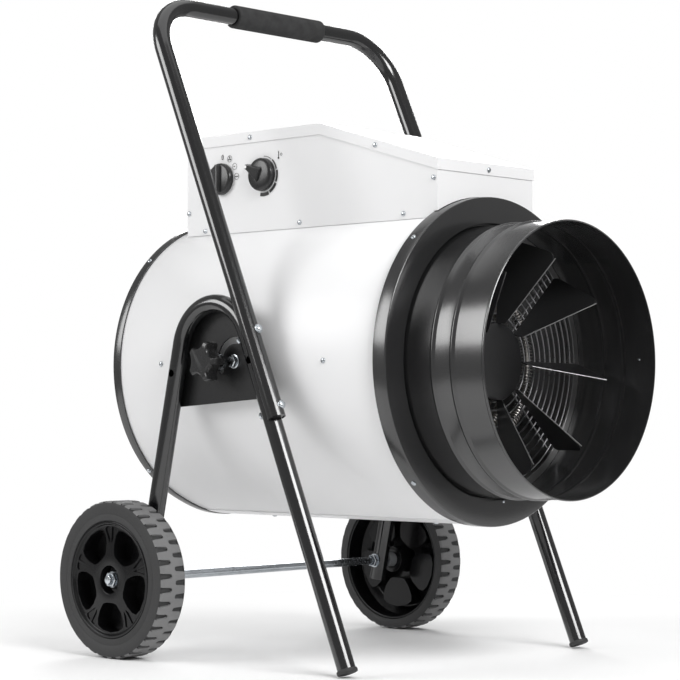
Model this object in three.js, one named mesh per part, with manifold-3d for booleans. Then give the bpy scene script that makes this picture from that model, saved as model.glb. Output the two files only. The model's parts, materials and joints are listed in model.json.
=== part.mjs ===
// Mobile forced air heater. A white steel drum with a fan, electric heating elements and an outlet
// collar hangs between two bent-tube side frames and tilts about a pair of pivot bolts. A bent handle,
// two wheels on one axle and two foot caps make the trolley. A control box straddles the drum.
// Millimetres, +Z up. The floor is z = 0, the outlet faces -Y and the control knobs face -X.
// Right is the -X side and left the +X side, as seen from behind the handle.

import * as THREE from 'three';
import { mergeVertices } from 'three/addons/utils/BufferGeometryUtils.js';
import Module from 'manifold-3d';

// ---- driving dimensions ----

const GAP = 0.3;                      // clearance between pieces that touch

const DRUM = { radius: 247.6, wall: 1.5, front: -232.5, rear: 379.5, axisZ: 469.3 };
const SEAM = { rise: 5, halfAngle: 27 };                // lapped seam along the bottom of the drum
const REAR_TRIM = { radius: 250, depth: 17.2, rear: 383.2 };
const FLANGE = { radius: 256.4, bore: 214.6, wall: 1.5, front: -234.4, rear: -209 };
const COLLAR = { radius: 211.3, wall: 1.3, front: -386, rear: -223.9, foot: 240 };
const COLLAR_BEADS = [-287.4, -325.2];
const BEAD = { halfWidth: 6, height: 2.6 };
const SHIELD = { radius: 198, wall: 1, front: -236, rear: 60 };

const GUARD = { y: -230, firstRing: 63.5, pitch: 13, rings: 11, wire: 1.5, spokes: 4, sides: 16 };
const INLET_GUARD = { y: 364, firstRing: 60, pitch: 40, rings: 5, wire: 1.8, spokes: 4, sides: 16 };
const VANES = { count: 8, phase: -10, sheet: 1.5 };
const HUB = { radius: 60.5, front: -238, rear: -224, wall: 1.5 };

const ELEMENT = { tube: 5, top: 742 };
const OUTER_ELEMENTS = { radius: 133, legX: 14, planes: [-190, -150] };
const INNER_ELEMENTS = { radius: 80, legX: 34, planes: [-172, -132] };
const TERMINAL_PLATE = { halfX: 52, front: -205, rear: -112, thickness: 4 };

const MOTOR = { radius: 66, front: 216, rear: 336 };
const MOTOR_BRACKET = { y: 266, depth: 16, wall: 4 };
const FAN = { tip: 225, hub: 62, front: 150, rear: 196, blades: 7, pitch: 20, sheet: 3 };
const SHAFT_RADIUS = 8;

const BOX = { halfX: 116, front: -216, rear: 346.6, wall: 1.5 };
const LID = { halfX: 117.5, front: -217.5, rear: 348, bend: 33, top: 855, frontTop: 780, lip: 18.5, wall: 1.2 };
const SELECTOR = { y: 260.5, z: 781, radius: 26.6, height: 16.5 };
const THERMOSTAT = { y: 162.5, z: 781.5, radius: 27.4, height: 19, pointer: 38, pointerAngle: 25.5 };
const GLAND = { x: 60, z: 752, radius: 16 };

const TUBE = { radius: 14, wall: 1.5 };                 // side frame tube
const FRAME_X = 280;
const FRONT_LEG = { y: -184.3, slope: 0.4228 };         // y at the floor and its change per mm of height
const ARCH_RADIUS = 78;
const REAR_LEG_SLOPE = -0.223;
const REAR_LEG_END = 92;
const AXLE = { y: 265, z: 125, radius: 7, half: 362 };

const HANDLE = { radius: 14.25, wall: 1.8, slope: 0.442, y450: -7.2, low: 382, top: 1058.6 };
const HANDLE_X = { at450: 283.4, perMm: -0.0076, bend: 90 };
const HANDLE_BOLTS = [509.5, 392.5];
const GRIP = { radius: 19.5, from: -91, to: 115 };
const FOOT = { radius: 16, height: 14, floor: 8 };      // height and floor are measured along the leg

const PLATE = { inner: 262.6, outer: 265.6, rearZ: 398.5, frontZ: 414, lap: 8 };   // lap: hidden behind the tube
const PIVOT = { y: 75, z: 470.3, bolt: 5 };
const LOCK = { orbit: 33, stud: 4, slotHalf: 5.5, slotFrom: -25, slotTo: 97 };
const STAR_KNOB = { radius: 32.5, valley: 21.5, lobes: 5, back: 283, front: 308 };

const WHEEL = { radius: 125, width: 53, inner: 306.3, lugs: 36, slotDepth: 5 };
const HUB_FACE = 43.7;                                  // outer end of the wheel hub, from the inner side of the wheel
const POCKET = { count: 5, floor: 28.5, wall: 2.5 };    // blind recesses between the spokes
const DRUM_SIDES = 32;
const SMALL_SIDES = 10;

// ---- materials ----

const finish = (color, roughness, metalness = 0) => new THREE.MeshStandardMaterial({ color, roughness, metalness });
const whitePaint = finish(0xf2f2f2, 0.35);
const blackPaint = finish(0x1a1a1a, 0.25);
const satinBlack = finish(0x202020, 0.45);
const zinc = finish(0xb9c2c6, 0.3, 1);
const steel = finish(0x8f9092, 0.4, 1);
const rubber = finish(0x3c3c3d, 0.75);
const rimPlastic = finish(0x262626, 0.5);
const knobPlastic = finish(0x2b2b2c, 0.5);
const foam = finish(0x454545, 0.9);
const ceramic = finish(0xd8d3c6, 0.7);
const heaterTube = finish(0x9b8f84, 0.4, 1);
const greyPlastic = finish(0x6d7073, 0.6);

// ---- solids, cuts and joins ----

const wasm = await Module();
wasm.setup();

const radians = THREE.MathUtils.degToRad;

function welded(geometry) {
  const bare = geometry.clone();
  Object.keys(bare.attributes).filter((name) => name !== 'position').forEach((name) => bare.deleteAttribute(name));
  const merged = mergeVertices(bare, 1e-4);
  const corners = merged.index.array;
  const kept = [];
  for (let i = 0; i < corners.length; i += 3) {
    const [a, b, c] = corners.slice(i, i + 3);
    if (a !== b && b !== c && c !== a) kept.push(a, b, c);
  }
  merged.setIndex(kept);
  return merged;
}

function toSolid(geometry) {
  const closed = welded(geometry);
  const vertProperties = new Float32Array(closed.attributes.position.array);
  const triVerts = new Uint32Array(closed.index.array);
  return new wasm.Manifold(new wasm.Mesh({ numProp: 3, vertProperties, triVerts }));
}

function toGeometry(manifold) {
  const mesh = manifold.getMesh();
  const geometry = new THREE.BufferGeometry();
  geometry.setAttribute('position', new THREE.BufferAttribute(new Float32Array(mesh.vertProperties), 3));
  geometry.setIndex(Array.from(mesh.triVerts));
  return geometry;
}

const cut = (base, ...tools) => toGeometry(tools.reduce((rest, tool) => rest.subtract(toSolid(tool)), toSolid(base)));
const join = (first, ...others) => toGeometry(others.reduce((sum, other) => sum.add(toSolid(other)), toSolid(first)));

function mirrored(geometry) {
  const other = welded(geometry);
  other.scale(-1, 1, 1);
  const corners = other.index.array;
  for (let i = 0; i < corners.length; i += 3) [corners[i], corners[i + 1]] = [corners[i + 1], corners[i]];
  return other;
}

// ---- shared forms ----

// Solid of revolution about Y. The profile holds [radius, y] pairs, anticlockwise.
function revolve(profile, sides) {
  const points = profile.map(([radius, y]) => new THREE.Vector2(radius, y));
  const onAxis = points[0].x === 0 && points[points.length - 1].x === 0;
  if (!onAxis) points.push(points[0].clone());
  return new THREE.LatheGeometry(points, sides);
}

const rodY = (radius, from, to, sides = SMALL_SIDES) => revolve([[0, from], [radius, from], [radius, to], [0, to]], sides);
const rodX = (radius, from, to, sides) => rodY(radius, -to, -from, sides).rotateZ(Math.PI / 2);
const rodZ = (radius, from, to, sides) => rodY(radius, from, to, sides).rotateX(Math.PI / 2);
const tubeY = (outer, inner, from, to, sides) => revolve([[outer, from], [outer, to], [inner, to], [inner, from]], sides);
const tubeX = (outer, inner, from, to, sides) => tubeY(outer, inner, -to, -from, sides).rotateZ(Math.PI / 2);

const block = (x0, x1, y0, y1, z0, z1) =>
  new THREE.BoxGeometry(x1 - x0, y1 - y0, z1 - z0).translate((x0 + x1) / 2, (y0 + y1) / 2, (z0 + z1) / 2);

const circlePoints = (radius, sides) => Array.from({ length: sides }, (_, i) => {
  const angle = (i / sides) * 2 * Math.PI;
  return new THREE.Vector2(radius * Math.cos(angle), radius * Math.sin(angle));
});

// Prism whose [y, z] outline is extruded along X between two planes.
function prismX(outline, from, to, holes = []) {
  const shape = new THREE.Shape(outline.map(([y, z]) => new THREE.Vector2(y, z)));
  shape.holes = holes.map((hole) => new THREE.Path(hole.map(([y, z]) => new THREE.Vector2(y, z))));
  const prism = new THREE.ExtrudeGeometry(shape, { depth: to - from, bevelEnabled: false });
  const axes = new THREE.Matrix4().set(0, 0, 1, from, 1, 0, 0, 0, 0, 1, 0, 0, 0, 0, 0, 1);
  return prism.applyMatrix4(axes);
}

// A curve given by stations, each with its point and tangent, so that straights take one step.
class StationCurve extends THREE.Curve {
  constructor(stations) {
    super();
    this.stations = stations;
  }

  station(u) {
    return this.stations[Math.round(u * (this.stations.length - 1))];
  }

  getPointAt(u, target = new THREE.Vector3()) {
    return target.copy(this.station(u).point);
  }

  getTangentAt(u, target = new THREE.Vector3()) {
    return target.copy(this.station(u).tangent);
  }
}

// Stations along straight runs joined by arcs of the given bend radius.
function bentPath(corners, bendRadius, bendSteps) {
  const stations = [];
  const runs = corners.slice(1).map((corner, i) => corner.clone().sub(corners[i]).normalize());
  stations.push({ point: corners[0], tangent: runs[0] });
  for (let i = 1; i < corners.length - 1; i += 1) {
    const before = runs[i - 1];
    const after = runs[i];
    const turn = before.angleTo(after);
    const inward = after.clone().addScaledVector(before, -before.dot(after)).normalize();
    const start = corners[i].clone().addScaledVector(before, -bendRadius * Math.tan(turn / 2));
    const centre = start.clone().addScaledVector(inward, bendRadius);
    for (let step = 0; step <= bendSteps; step += 1) {
      const angle = (turn * step) / bendSteps;
      const tangent = before.clone().multiplyScalar(Math.cos(angle)).addScaledVector(inward, Math.sin(angle));
      const normal = inward.clone().multiplyScalar(Math.cos(angle)).addScaledVector(before, -Math.sin(angle));
      stations.push({ point: centre.clone().addScaledVector(normal, -bendRadius), tangent });
    }
  }
  stations.push({ point: corners[corners.length - 1], tangent: runs[runs.length - 1] });
  return stations;
}

// Round tube or rod along stations; without a bore it is solid.
function tubeAlong(stations, radius, bore, sides) {
  const shape = new THREE.Shape(circlePoints(radius, sides));
  if (bore > 0) shape.holes.push(new THREE.Path(circlePoints(bore, sides)));
  const extrudePath = new StationCurve(stations);
  return new THREE.ExtrudeGeometry(shape, { steps: stations.length - 1, extrudePath, bevelEnabled: false });
}

function polar(radius, y, degrees) {
  const angle = radians(degrees);
  return new THREE.Vector3(radius * Math.cos(angle), y, radius * Math.sin(angle));
}

// ---- side frames, handle and feet ----

const frontLegY = (z) => FRONT_LEG.y + FRONT_LEG.slope * z;
const rearLegY = (z) => AXLE.y + REAR_LEG_SLOPE * (z - AXLE.z);
const handleY = (z) => HANDLE.y450 + HANDLE.slope * (z - 450);
const handleX = (z) => HANDLE_X.at450 + HANDLE_X.perMm * (z - 450);
const legTilt = Math.atan(FRONT_LEG.slope);

function sideFrameStations() {
  const apexZ = (rearLegY(0) - FRONT_LEG.y) / (FRONT_LEG.slope - REAR_LEG_SLOPE);
  const footZ = (FOOT.floor + GAP) * Math.cos(legTilt);
  const corners = [
    new THREE.Vector3(-FRAME_X, frontLegY(footZ), footZ),
    new THREE.Vector3(-FRAME_X, frontLegY(apexZ), apexZ),
    new THREE.Vector3(-FRAME_X, rearLegY(REAR_LEG_END), REAR_LEG_END),
  ];
  return bentPath(corners, ARCH_RADIUS, 7);
}

// Bolts through handle and front leg, square to the leg, with heads in front.
function acrossLeg(geometry, z) {
  const turned = geometry.rotateX(Math.PI - legTilt);
  return turned.translate(-FRAME_X, frontLegY(z), z);
}

// Holes in the outer wall of the tube, through which the plate's two fixing screws are reached.
const PLATE_SCREWS = [[frontLegY(471), 471], [rearLegY(453), 453]];

function sideFrame() {
  const tube = tubeAlong(sideFrameStations(), TUBE.radius, TUBE.radius - TUBE.wall, SMALL_SIDES);
  const axleHole = rodX(AXLE.radius + 0.6, -FRAME_X - 20, -FRAME_X + 20).translate(0, AXLE.y, AXLE.z);
  const boltHoles = HANDLE_BOLTS.map((z) => acrossLeg(rodY(3.4, -40, 40, 6), z));
  const screwHoles = PLATE_SCREWS.map(([y, z]) => rodX(6, -FRAME_X - 20, -FRAME_X, 6).translate(0, y, z));
  return cut(tube, axleHole, ...boltHoles, ...screwHoles);
}

// Shallow plastic cap pushed over the end of the leg and cut level with the floor.
function footCap() {
  const { radius, height, floor } = FOOT;
  const seat = TUBE.radius + GAP;
  const cup = revolve([[0, -14], [radius, -14], [radius, height], [seat, height], [seat, floor], [0, floor]], 16);
  cup.rotateX(Math.PI / 2 - legTilt).translate(-FRAME_X, FRONT_LEG.y, 0);
  return cut(cup, block(-400, 0, -300, 0, -60, 0));
}

function handle() {
  const corners = [
    new THREE.Vector3(-handleX(HANDLE.low), handleY(HANDLE.low), HANDLE.low),
    new THREE.Vector3(-handleX(HANDLE.top), handleY(HANDLE.top), HANDLE.top),
    new THREE.Vector3(handleX(HANDLE.top), handleY(HANDLE.top), HANDLE.top),
    new THREE.Vector3(handleX(HANDLE.low), handleY(HANDLE.low), HANDLE.low),
  ];
  const stations = bentPath(corners, HANDLE_X.bend, 4);
  const tube = tubeAlong(stations, HANDLE.radius, HANDLE.radius - HANDLE.wall, SMALL_SIDES);
  const legSaddle = tubeAlong(sideFrameStations(), TUBE.radius + GAP + 0.2, 0, SMALL_SIDES);
  const boltHoles = HANDLE_BOLTS.map((z) => acrossLeg(rodY(3.4, -60, 60, 6), z));
  const rightTools = [legSaddle, ...boltHoles];
  return cut(tube, ...rightTools, ...rightTools.map(mirrored));
}

function gripSleeve() {
  return tubeX(GRIP.radius, HANDLE.radius + GAP, GRIP.from, GRIP.to, 16);
}

// Bolt with its domed head in front of the handle and its nut behind the leg.
function handleBolt(z) {
  const head = rodY(6.5, 27, 31, 8);
  const shank = rodY(2.9, -22, 28, 6);
  const nut = rodY(5.8, -21, -16, 6);
  return acrossLeg(join(shank, head, nut), z);
}

// ---- pivot plates and their fasteners ----

function pivotPlate() {
  const hidden = ({ point, tangent }) => [point.y - PLATE.lap * tangent.z, point.z + PLATE.lap * tangent.y];
  const arch = sideFrameStations().slice(1, -1).map(hidden);
  const outline = [
    [frontLegY(PLATE.frontZ) - PLATE.lap, PLATE.frontZ], ...arch, [rearLegY(PLATE.rearZ) + PLATE.lap, PLATE.rearZ],
  ].reverse();
  const around = (radius, degrees) => [
    PIVOT.y + radius * Math.cos(radians(degrees)),
    PIVOT.z + radius * Math.sin(radians(degrees)),
  ];
  const slotSteps = 10;
  const slotAngle = (i) => LOCK.slotFrom + ((LOCK.slotTo - LOCK.slotFrom) * i) / slotSteps;
  const slot = [
    ...Array.from({ length: slotSteps + 1 }, (_, i) => around(LOCK.orbit + LOCK.slotHalf, slotAngle(i))),
    around(LOCK.orbit, LOCK.slotTo + 9),
    ...Array.from({ length: slotSteps + 1 }, (_, i) => around(LOCK.orbit - LOCK.slotHalf, slotAngle(slotSteps - i))),
    around(LOCK.orbit, LOCK.slotFrom - 9),
  ];
  const pivotHole = circlePoints(PIVOT.bolt + 1, 12).map((point) => [PIVOT.y + point.x, PIVOT.z + point.y]);
  return prismX(outline, -PLATE.outer, -PLATE.inner, [slot, pivotHole]);
}

function pivotBolt() {
  const flange = rodX(10, -PLATE.outer - 2, -PLATE.outer - GAP, SMALL_SIDES);
  const head = rodX(9.6, -PLATE.outer - 9, -PLATE.outer - 1.9, 6);
  const shank = rodX(PIVOT.bolt, -PLATE.outer - 2, -232, SMALL_SIDES);
  return join(flange, head, shank).translate(0, PIVOT.y, PIVOT.z);
}

const lockY = PIVOT.y + LOCK.orbit;

const pivotSpacer = () =>
  tubeX(10, 5.4, -PLATE.inner + GAP, -DRUM.radius - GAP, SMALL_SIDES).translate(0, PIVOT.y, PIVOT.z);

// Bracket welded inside the drum wall, with the pivot bolt's nut and the welded stud that runs through
// the slot of the pivot plate to the locking knob.
function sideBracket() {
  const depth = Math.sqrt((DRUM.radius - DRUM.wall) ** 2 - 30 ** 2) - 1.5;
  const plate = block(-depth, -depth + 3, PIVOT.y - 30, lockY + 30, PIVOT.z - 26, PIVOT.z + 26);
  const nut = rodX(10, -depth + 2.5, -depth + 10, 6).translate(0, PIVOT.y, PIVOT.z);
  const stud = rodX(LOCK.stud, -STAR_KNOB.front + 8, -depth + 5, 8).translate(0, lockY, PIVOT.z);
  const bore = rodX(PIVOT.bolt + 0.4, -260, -200, SMALL_SIDES).translate(0, PIVOT.y, PIVOT.z);
  return cut(join(plate, nut, stud), bore);
}

// Star-shaped grip with a threaded blind hole for the stud.
function starKnob() {
  const { radius: tip, valley, lobes, back, front } = STAR_KNOB;
  const steps = lobes * 6;
  const outline = Array.from({ length: steps }, (_, i) => {
    const angle = Math.PI + (i / steps) * 2 * Math.PI;
    const radius = valley + ((tip - valley) * (1 + Math.cos(angle * lobes + Math.PI))) / 2;
    return [radius * Math.cos(angle), radius * Math.sin(angle)];
  });
  const star = prismX(outline, -front, -back);
  const boss = rodX(11, -back - 1, -PLATE.outer - 3, SMALL_SIDES);
  const bore = rodX(LOCK.stud + 0.5, -front + 6, -PLATE.outer, 8);
  return cut(join(star, boss), bore).translate(0, lockY, PIVOT.z);
}

// ---- axle and wheels ----

const axle = () => rodX(AXLE.radius, -AXLE.half, AXLE.half, SMALL_SIDES).translate(0, AXLE.y, AXLE.z);

function axleNut() {
  const inner = WHEEL.inner + HUB_FACE + 1.3;
  return tubeX(12.7, AXLE.radius * 1.2, -inner - 6, -inner, 6).translate(0, AXLE.y, AXLE.z);
}

// Tyre section going round the wheel; slots alternate between the two shoulders by half a pitch.
function tyre() {
  const stations = WHEEL.lugs * 2;
  const tread = WHEEL.radius;
  const low = tread - WHEEL.slotDepth;
  const section = (slotInside) => {
    const inside = slotInside ? low : tread;
    const outside = slotInside ? tread : low;
    return [
      [107.5, 0.5], [118.5, 0], [inside, 9], [outside, 44], [114.5, WHEEL.width], [93.6, WHEEL.width], [107.5, 37],
    ];
  };
  const points = [];
  const corners = [];
  for (let i = 0; i < stations; i += 1) {
    const angle = (i / stations) * 2 * Math.PI;
    const ring = section(i % 2 === 0);
    ring.forEach(([radius, y]) => points.push(radius * Math.cos(angle), y, radius * Math.sin(angle)));
    for (let j = 0; j < ring.length; j += 1) {
      const next = ((i + 1) % stations) * ring.length;
      const here = i * ring.length;
      const up = (j + 1) % ring.length;
      corners.push(here + j, here + up, next + j);
      corners.push(here + up, next + up, next + j);
    }
  }
  const geometry = new THREE.BufferGeometry();
  geometry.setAttribute('position', new THREE.Float32BufferAttribute(points, 3));
  geometry.setIndex(corners);
  return geometry;
}

// Moulded rim: hub, thin outer face with deep blind pockets between its spokes, and a barrel that is
// open towards the trolley.
function rim() {
  const body = revolve([
    [12.5, 5], [21, 5], [21, 42], [88, 43.5], [103, 34], [103, 2], [107, 2], [107, 36.5], [93, 52.6],
    [86, 52.6], [83, 46.5], [22, 46], [22, HUB_FACE], [12.5, HUB_FACE],
  ], 20);
  const { count, floor, wall } = POCKET;
  const middles = Array.from({ length: count }, (_, i) => 90 + ((i + 0.5) * 360) / count);
  const cups = middles.map((degrees) => pocket(degrees, wall, floor - wall, 45));
  const recesses = middles.map((degrees) => pocket(degrees, 0, floor, 60));
  return cut(join(body, ...cups), ...recesses);
}

// Prism over the kite-shaped outline of one pocket, grown on all sides by a margin.
function pocket(degrees, margin, from, to) {
  const outline = [[36, -10], [46, -20], [77, -22], [80, 0], [77, 22], [46, 20], [36, 10]];
  const corners = outline.map(([radius, side]) => {
    const grown = radius + (radius > 60 ? margin : -margin);
    const angle = radians(degrees + side) + (Math.sign(side) * margin) / grown;
    return new THREE.Vector2(grown * Math.cos(angle), grown * Math.sin(angle));
  });
  const prism = new THREE.ExtrudeGeometry(new THREE.Shape(corners), { depth: to - from, bevelEnabled: false });
  return prism.rotateX(Math.PI / 2).translate(0, to, 0);
}

// Bearing bush whose long inner end keeps the wheel clear of the leg.
const hubBush = () =>
  tubeY(12.2, AXLE.radius + 0.6, FRAME_X + TUBE.radius + GAP - WHEEL.inner, HUB_FACE + 1, SMALL_SIDES);

// ---- drum and its front ----

const sideHoles = (radius) => [-1, 1].flatMap((side) => [PIVOT.y, lockY].map((y) =>
  rodX(radius, Math.min(side * 230, side * 262), Math.max(side * 230, side * 262), 8)
    .translate(0, y, PIVOT.z - DRUM.axisZ)));

function terminalOpening() {
  const { halfX, front, rear } = TERMINAL_PLATE;
  return block(-halfX + 8, halfX - 8, front + 8, rear - 8, 150, 300);
}

// The rolled sheet keeps a flatter curve where its ends lap, so the drum bulges along its bottom seam.
function bulged(geometry) {
  const corners = geometry.attributes.position;
  for (let i = 0; i < corners.count; i += 1) {
    const fromBottom = Math.atan2(corners.getX(i), -corners.getZ(i));
    const share = Math.min(Math.abs(fromBottom) / radians(SEAM.halfAngle), 1);
    const stretch = 1 + (SEAM.rise * Math.cos((share * Math.PI) / 2) ** 2) / DRUM.radius;
    corners.setXYZ(i, corners.getX(i) * stretch, corners.getY(i), corners.getZ(i) * stretch);
  }
  return geometry;
}

function drumShell() {
  const tube = bulged(tubeY(DRUM.radius, DRUM.radius - DRUM.wall, DRUM.front, DRUM.rear, DRUM_SIDES));
  return cut(tube, ...sideHoles(6), terminalOpening());
}

// Edging of U section pushed over the rear edge of the drum.
function rearTrim() {
  const { radius, depth, rear } = REAR_TRIM;
  const inner = DRUM.radius - DRUM.wall - GAP;
  return bulged(revolve([
    [radius, rear - depth], [radius, rear - 1.5], [radius - 1.5, rear], [inner - 1.2, rear], [inner - 1.2, rear - 8],
    [inner, rear - 8], [inner, DRUM.rear + GAP], [DRUM.radius + GAP, DRUM.rear + GAP],
    [DRUM.radius + GAP, rear - depth],
  ], DRUM_SIDES));
}

// Pressed ring of channel section: rear lip, band, front face and rolled inner lip.
function frontFlange() {
  const { radius, bore, wall, front, rear } = FLANGE;
  const lip = DRUM.radius + GAP;
  const ring = revolve([
    [radius, front + 1.5], [radius, rear], [lip, rear], [lip, rear - wall], [radius - wall, rear - wall],
    [radius - wall, front + wall], [bore + wall, front + wall], [bore + wall, front + 6], [bore, front + 6],
    [bore, front], [radius - 1.5, front],
  ], DRUM_SIDES);
  return cut(ring, bulged(rodY(lip, DRUM.front - GAP, DRUM.rear, DRUM_SIDES)));
}

// Rolled outlet collar with two raised beads and a turned-out foot behind the flange face.
function outletCollar() {
  const { radius, wall, front, rear, foot } = COLLAR;
  const beads = [...COLLAR_BEADS].reverse().flatMap((y) => [
    [radius, y - BEAD.halfWidth], [radius + BEAD.height, y], [radius, y + BEAD.halfWidth],
  ]);
  return revolve([
    [radius + 1, front], [radius + 1, front + 5], [radius, front + 6], ...beads, [radius, rear - wall],
    [foot, rear - wall], [foot, rear], [radius - wall, rear], [radius - wall, front],
  ], DRUM_SIDES);
}

// Inner duct round the heating elements, closed towards the collar by a flat ring and held by four
// welded brackets.
function heatShield() {
  const { radius, wall, front, rear } = SHIELD;
  const ring = COLLAR.radius - COLLAR.wall - GAP;
  const duct = revolve([
    [ring, front], [ring, front + wall], [radius, front + wall], [radius, rear], [radius - wall, rear],
    [radius - wall, front],
  ], DRUM_SIDES);
  const bracket = block(radius - wall + 0.2, DRUM.radius - DRUM.wall - 1, -65, -35, -1, 1);
  const brackets = [0.5, 1.5, 2.5, 3.5].map((quarter) => bracket.clone().rotateY(quarter * (Math.PI / 2)));
  return cut(join(duct, ...brackets), terminalOpening());
}

// Concentric wires welded to radial rods.
function wireGuard({ y, firstRing, pitch, rings, wire, spokes, sides }, innerEnd, outerEnd) {
  const hoop = (radius) => revolve([[radius - wire, y - wire], [radius + wire, y - wire], [radius, y + wire]], sides);
  const spoke = (angle) => rodY(wire, innerEnd, outerEnd, 4).rotateZ(-Math.PI / 2).translate(0, y + wire, 0).rotateY(angle);
  const hoops = Array.from({ length: rings }, (_, i) => hoop(firstRing + i * pitch));
  const rods = Array.from({ length: spokes }, (_, i) => spoke(((i + 0.5) / spokes) * 2 * Math.PI));
  return join(...hoops, ...rods);
}

// ---- outlet deflector ----

// Thin sheet with the given outline, thickened both ways along its normal.
function sheet(outline, thickness) {
  const count = outline.length;
  const normal = new THREE.Vector3();
  outline.forEach((corner, i) => normal.add(corner.clone().cross(outline[(i + 1) % count])));
  normal.normalize().multiplyScalar(thickness / 2);
  const front = outline.map((corner) => corner.clone().add(normal));
  const back = outline.map((corner) => corner.clone().sub(normal));
  const corners = [];
  for (let i = 1; i < count - 1; i += 1) corners.push(0, i, i + 1, count, count + i + 1, count + i);
  for (let i = 0; i < count; i += 1) {
    const next = (i + 1) % count;
    corners.push(i, count + i, next, next, count + i, count + next);
  }
  const geometry = new THREE.BufferGeometry().setFromPoints([...front, ...back]);
  geometry.setIndex(corners);
  return geometry;
}

// One vane: it springs from the hub rim, sweeps forwards and outwards, and is twisted to stir the air.
function vane(degrees) {
  return sheet([
    polar(58.5, -236, degrees + 12),
    polar(190, -243, degrees + 9.6),
    polar(194, -250, degrees + 9),
    polar(172, -328, degrees + 0.8),
    polar(163, -333, degrees),
    polar(86, -288, degrees + 1.4),
    polar(58.5, -248, degrees + 6),
  ], VANES.sheet);
}

function flowDeflector() {
  const { radius, front, rear, wall } = HUB;
  const hub = revolve([
    [0, front], [radius, front], [radius, rear], [radius - wall, rear], [radius - wall, front + wall],
    [0, front + wall],
  ], 24);
  const vanes = Array.from({ length: VANES.count }, (_, i) => vane(VANES.phase + (i * 360) / VANES.count));
  return join(hub, ...vanes);
}

// ---- heating section ----

// One element: a leg down from the terminals, nearly a full turn round the axis, and a leg back up.
function elementStations({ radius, legX }, y) {
  const bend = 12;
  const gapAngle = Math.asin((legX + bend) / radius);
  const turn = 2 * Math.PI - 2 * gapAngle;
  const steps = 16;
  const joinZ = Math.sqrt(radius ** 2 - (legX + bend) ** 2) + bend;
  const top = ELEMENT.top - DRUM.axisZ;
  const down = new THREE.Vector3(0, 0, -1);
  const up = new THREE.Vector3(0, 0, 1);
  const ring = Array.from({ length: steps + 1 }, (_, i) => {
    const angle = Math.PI / 2 + gapAngle + (turn * i) / steps;
    return {
      point: new THREE.Vector3(radius * Math.cos(angle), y, radius * Math.sin(angle)),
      tangent: new THREE.Vector3(-Math.sin(angle), 0, Math.cos(angle)),
    };
  });
  return [
    { point: new THREE.Vector3(-legX, y, top), tangent: down },
    { point: new THREE.Vector3(-legX, y, joinZ), tangent: down },
    ...ring,
    { point: new THREE.Vector3(legX, y, joinZ), tangent: up },
    { point: new THREE.Vector3(legX, y, top), tangent: up },
  ];
}

const element = (size, y) => tubeAlong(elementStations(size, y), ELEMENT.tube, 0, 6);

// Carrier of three arms welded to a middle ring, with holes that the elements pass through.
function elementSupport() {
  const half = ELEMENT.tube + 2.6;
  const holes = [OUTER_ELEMENTS, INNER_ELEMENTS].flatMap(({ radius, planes }) =>
    planes.map((y) => block(radius - half, radius + half, y - half, y + half, -3, 3)));
  const arm = cut(block(51, SHIELD.radius - SHIELD.wall - 1.5, -205, -118, -1, 1), ...holes);
  const arms = [-30, 210, 270].map((degrees) => arm.clone().rotateY(-radians(degrees)));
  return join(tubeY(53, 51, -190, -130, 18), ...arms);
}

function terminalPlate() {
  const { halfX, front, rear, thickness } = TERMINAL_PLATE;
  const bottom = DRUM.radius + GAP;
  const plate = block(-halfX, halfX, front, rear, bottom, bottom + thickness);
  const hole = (x, y) => rodZ(ELEMENT.tube + 1.2, -bottom - thickness - 5, -bottom + 5, 6).rotateX(Math.PI).translate(x, y, 0);
  const legHoles = [OUTER_ELEMENTS, INNER_ELEMENTS].flatMap(({ legX, planes }) =>
    planes.flatMap((y) => [hole(-legX, y), hole(legX, y)]));
  return cut(plate, ...legHoles);
}

// ---- fan ----

function fanMotor() {
  const { radius, front, rear } = MOTOR;
  const body = revolve([
    [0, front - 4], [20, front - 4], [24, front], [radius - 6, front], [radius, front + 8],
    [radius, rear - 14], [radius - 12, rear], [0, rear],
  ], 20);
  return cut(body, rodY(SHAFT_RADIUS + 0.6, front - 10, rear - 30));
}

function motorBracket() {
  const { y, depth, wall } = MOTOR_BRACKET;
  const inner = MOTOR.radius + GAP;
  const ring = tubeY(inner + wall, inner, y - depth / 2, y + depth / 2, 20);
  const reach = DRUM.radius - DRUM.wall - 1.6;
  const arm = block(inner + 1, reach, y - depth / 2, y + depth / 2, -2, 2);
  const foot = block(reach - 3, reach, y - depth / 2, y + depth / 2, -16, 16);
  const arms = [0.5, 1.5, 2.5, 3.5].flatMap((quarter) =>
    [arm, foot].map((piece) => piece.clone().rotateY((quarter * Math.PI) / 2)));
  const clear = rodY(inner, y - depth, y + depth, 20);
  return cut(join(ring, ...arms), clear);
}

// Axial impeller with flat pitched blades on a pressed hub.
function fanImpeller() {
  const { tip, hub, front, rear, blades, pitch, sheet: thickness } = FAN;
  const boss = revolve([
    [SHAFT_RADIUS + GAP, front + 4], [hub - 4, front], [hub, front + 4], [hub, rear], [hub - 3, rear],
    [hub - 3, front + 9], [18, front + 9], [18, rear], [SHAFT_RADIUS + GAP, rear],
  ], 14);
  const corners = [[50, -28], [tip - 9, -54], [tip, 0], [tip - 9, 54], [50, 28]];
  const blade = new THREE.Shape(corners.map(([radial, chord]) => new THREE.Vector2(radial, chord)));
  const flat = new THREE.ExtrudeGeometry(blade, { depth: thickness, bevelEnabled: false });
  flat.translate(0, 0, -thickness / 2).rotateX(Math.PI / 2 + radians(pitch)).translate(0, (front + rear) / 2, 0);
  const inside = rodY(hub - 3, front - 30, rear + 30, 14);
  const trimmed = cut(flat, inside);
  const fitted = Array.from({ length: blades }, (_, i) => trimmed.clone().rotateY((i / blades) * 2 * Math.PI));
  return join(boss, ...fitted);
}

// ---- control box ----

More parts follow.
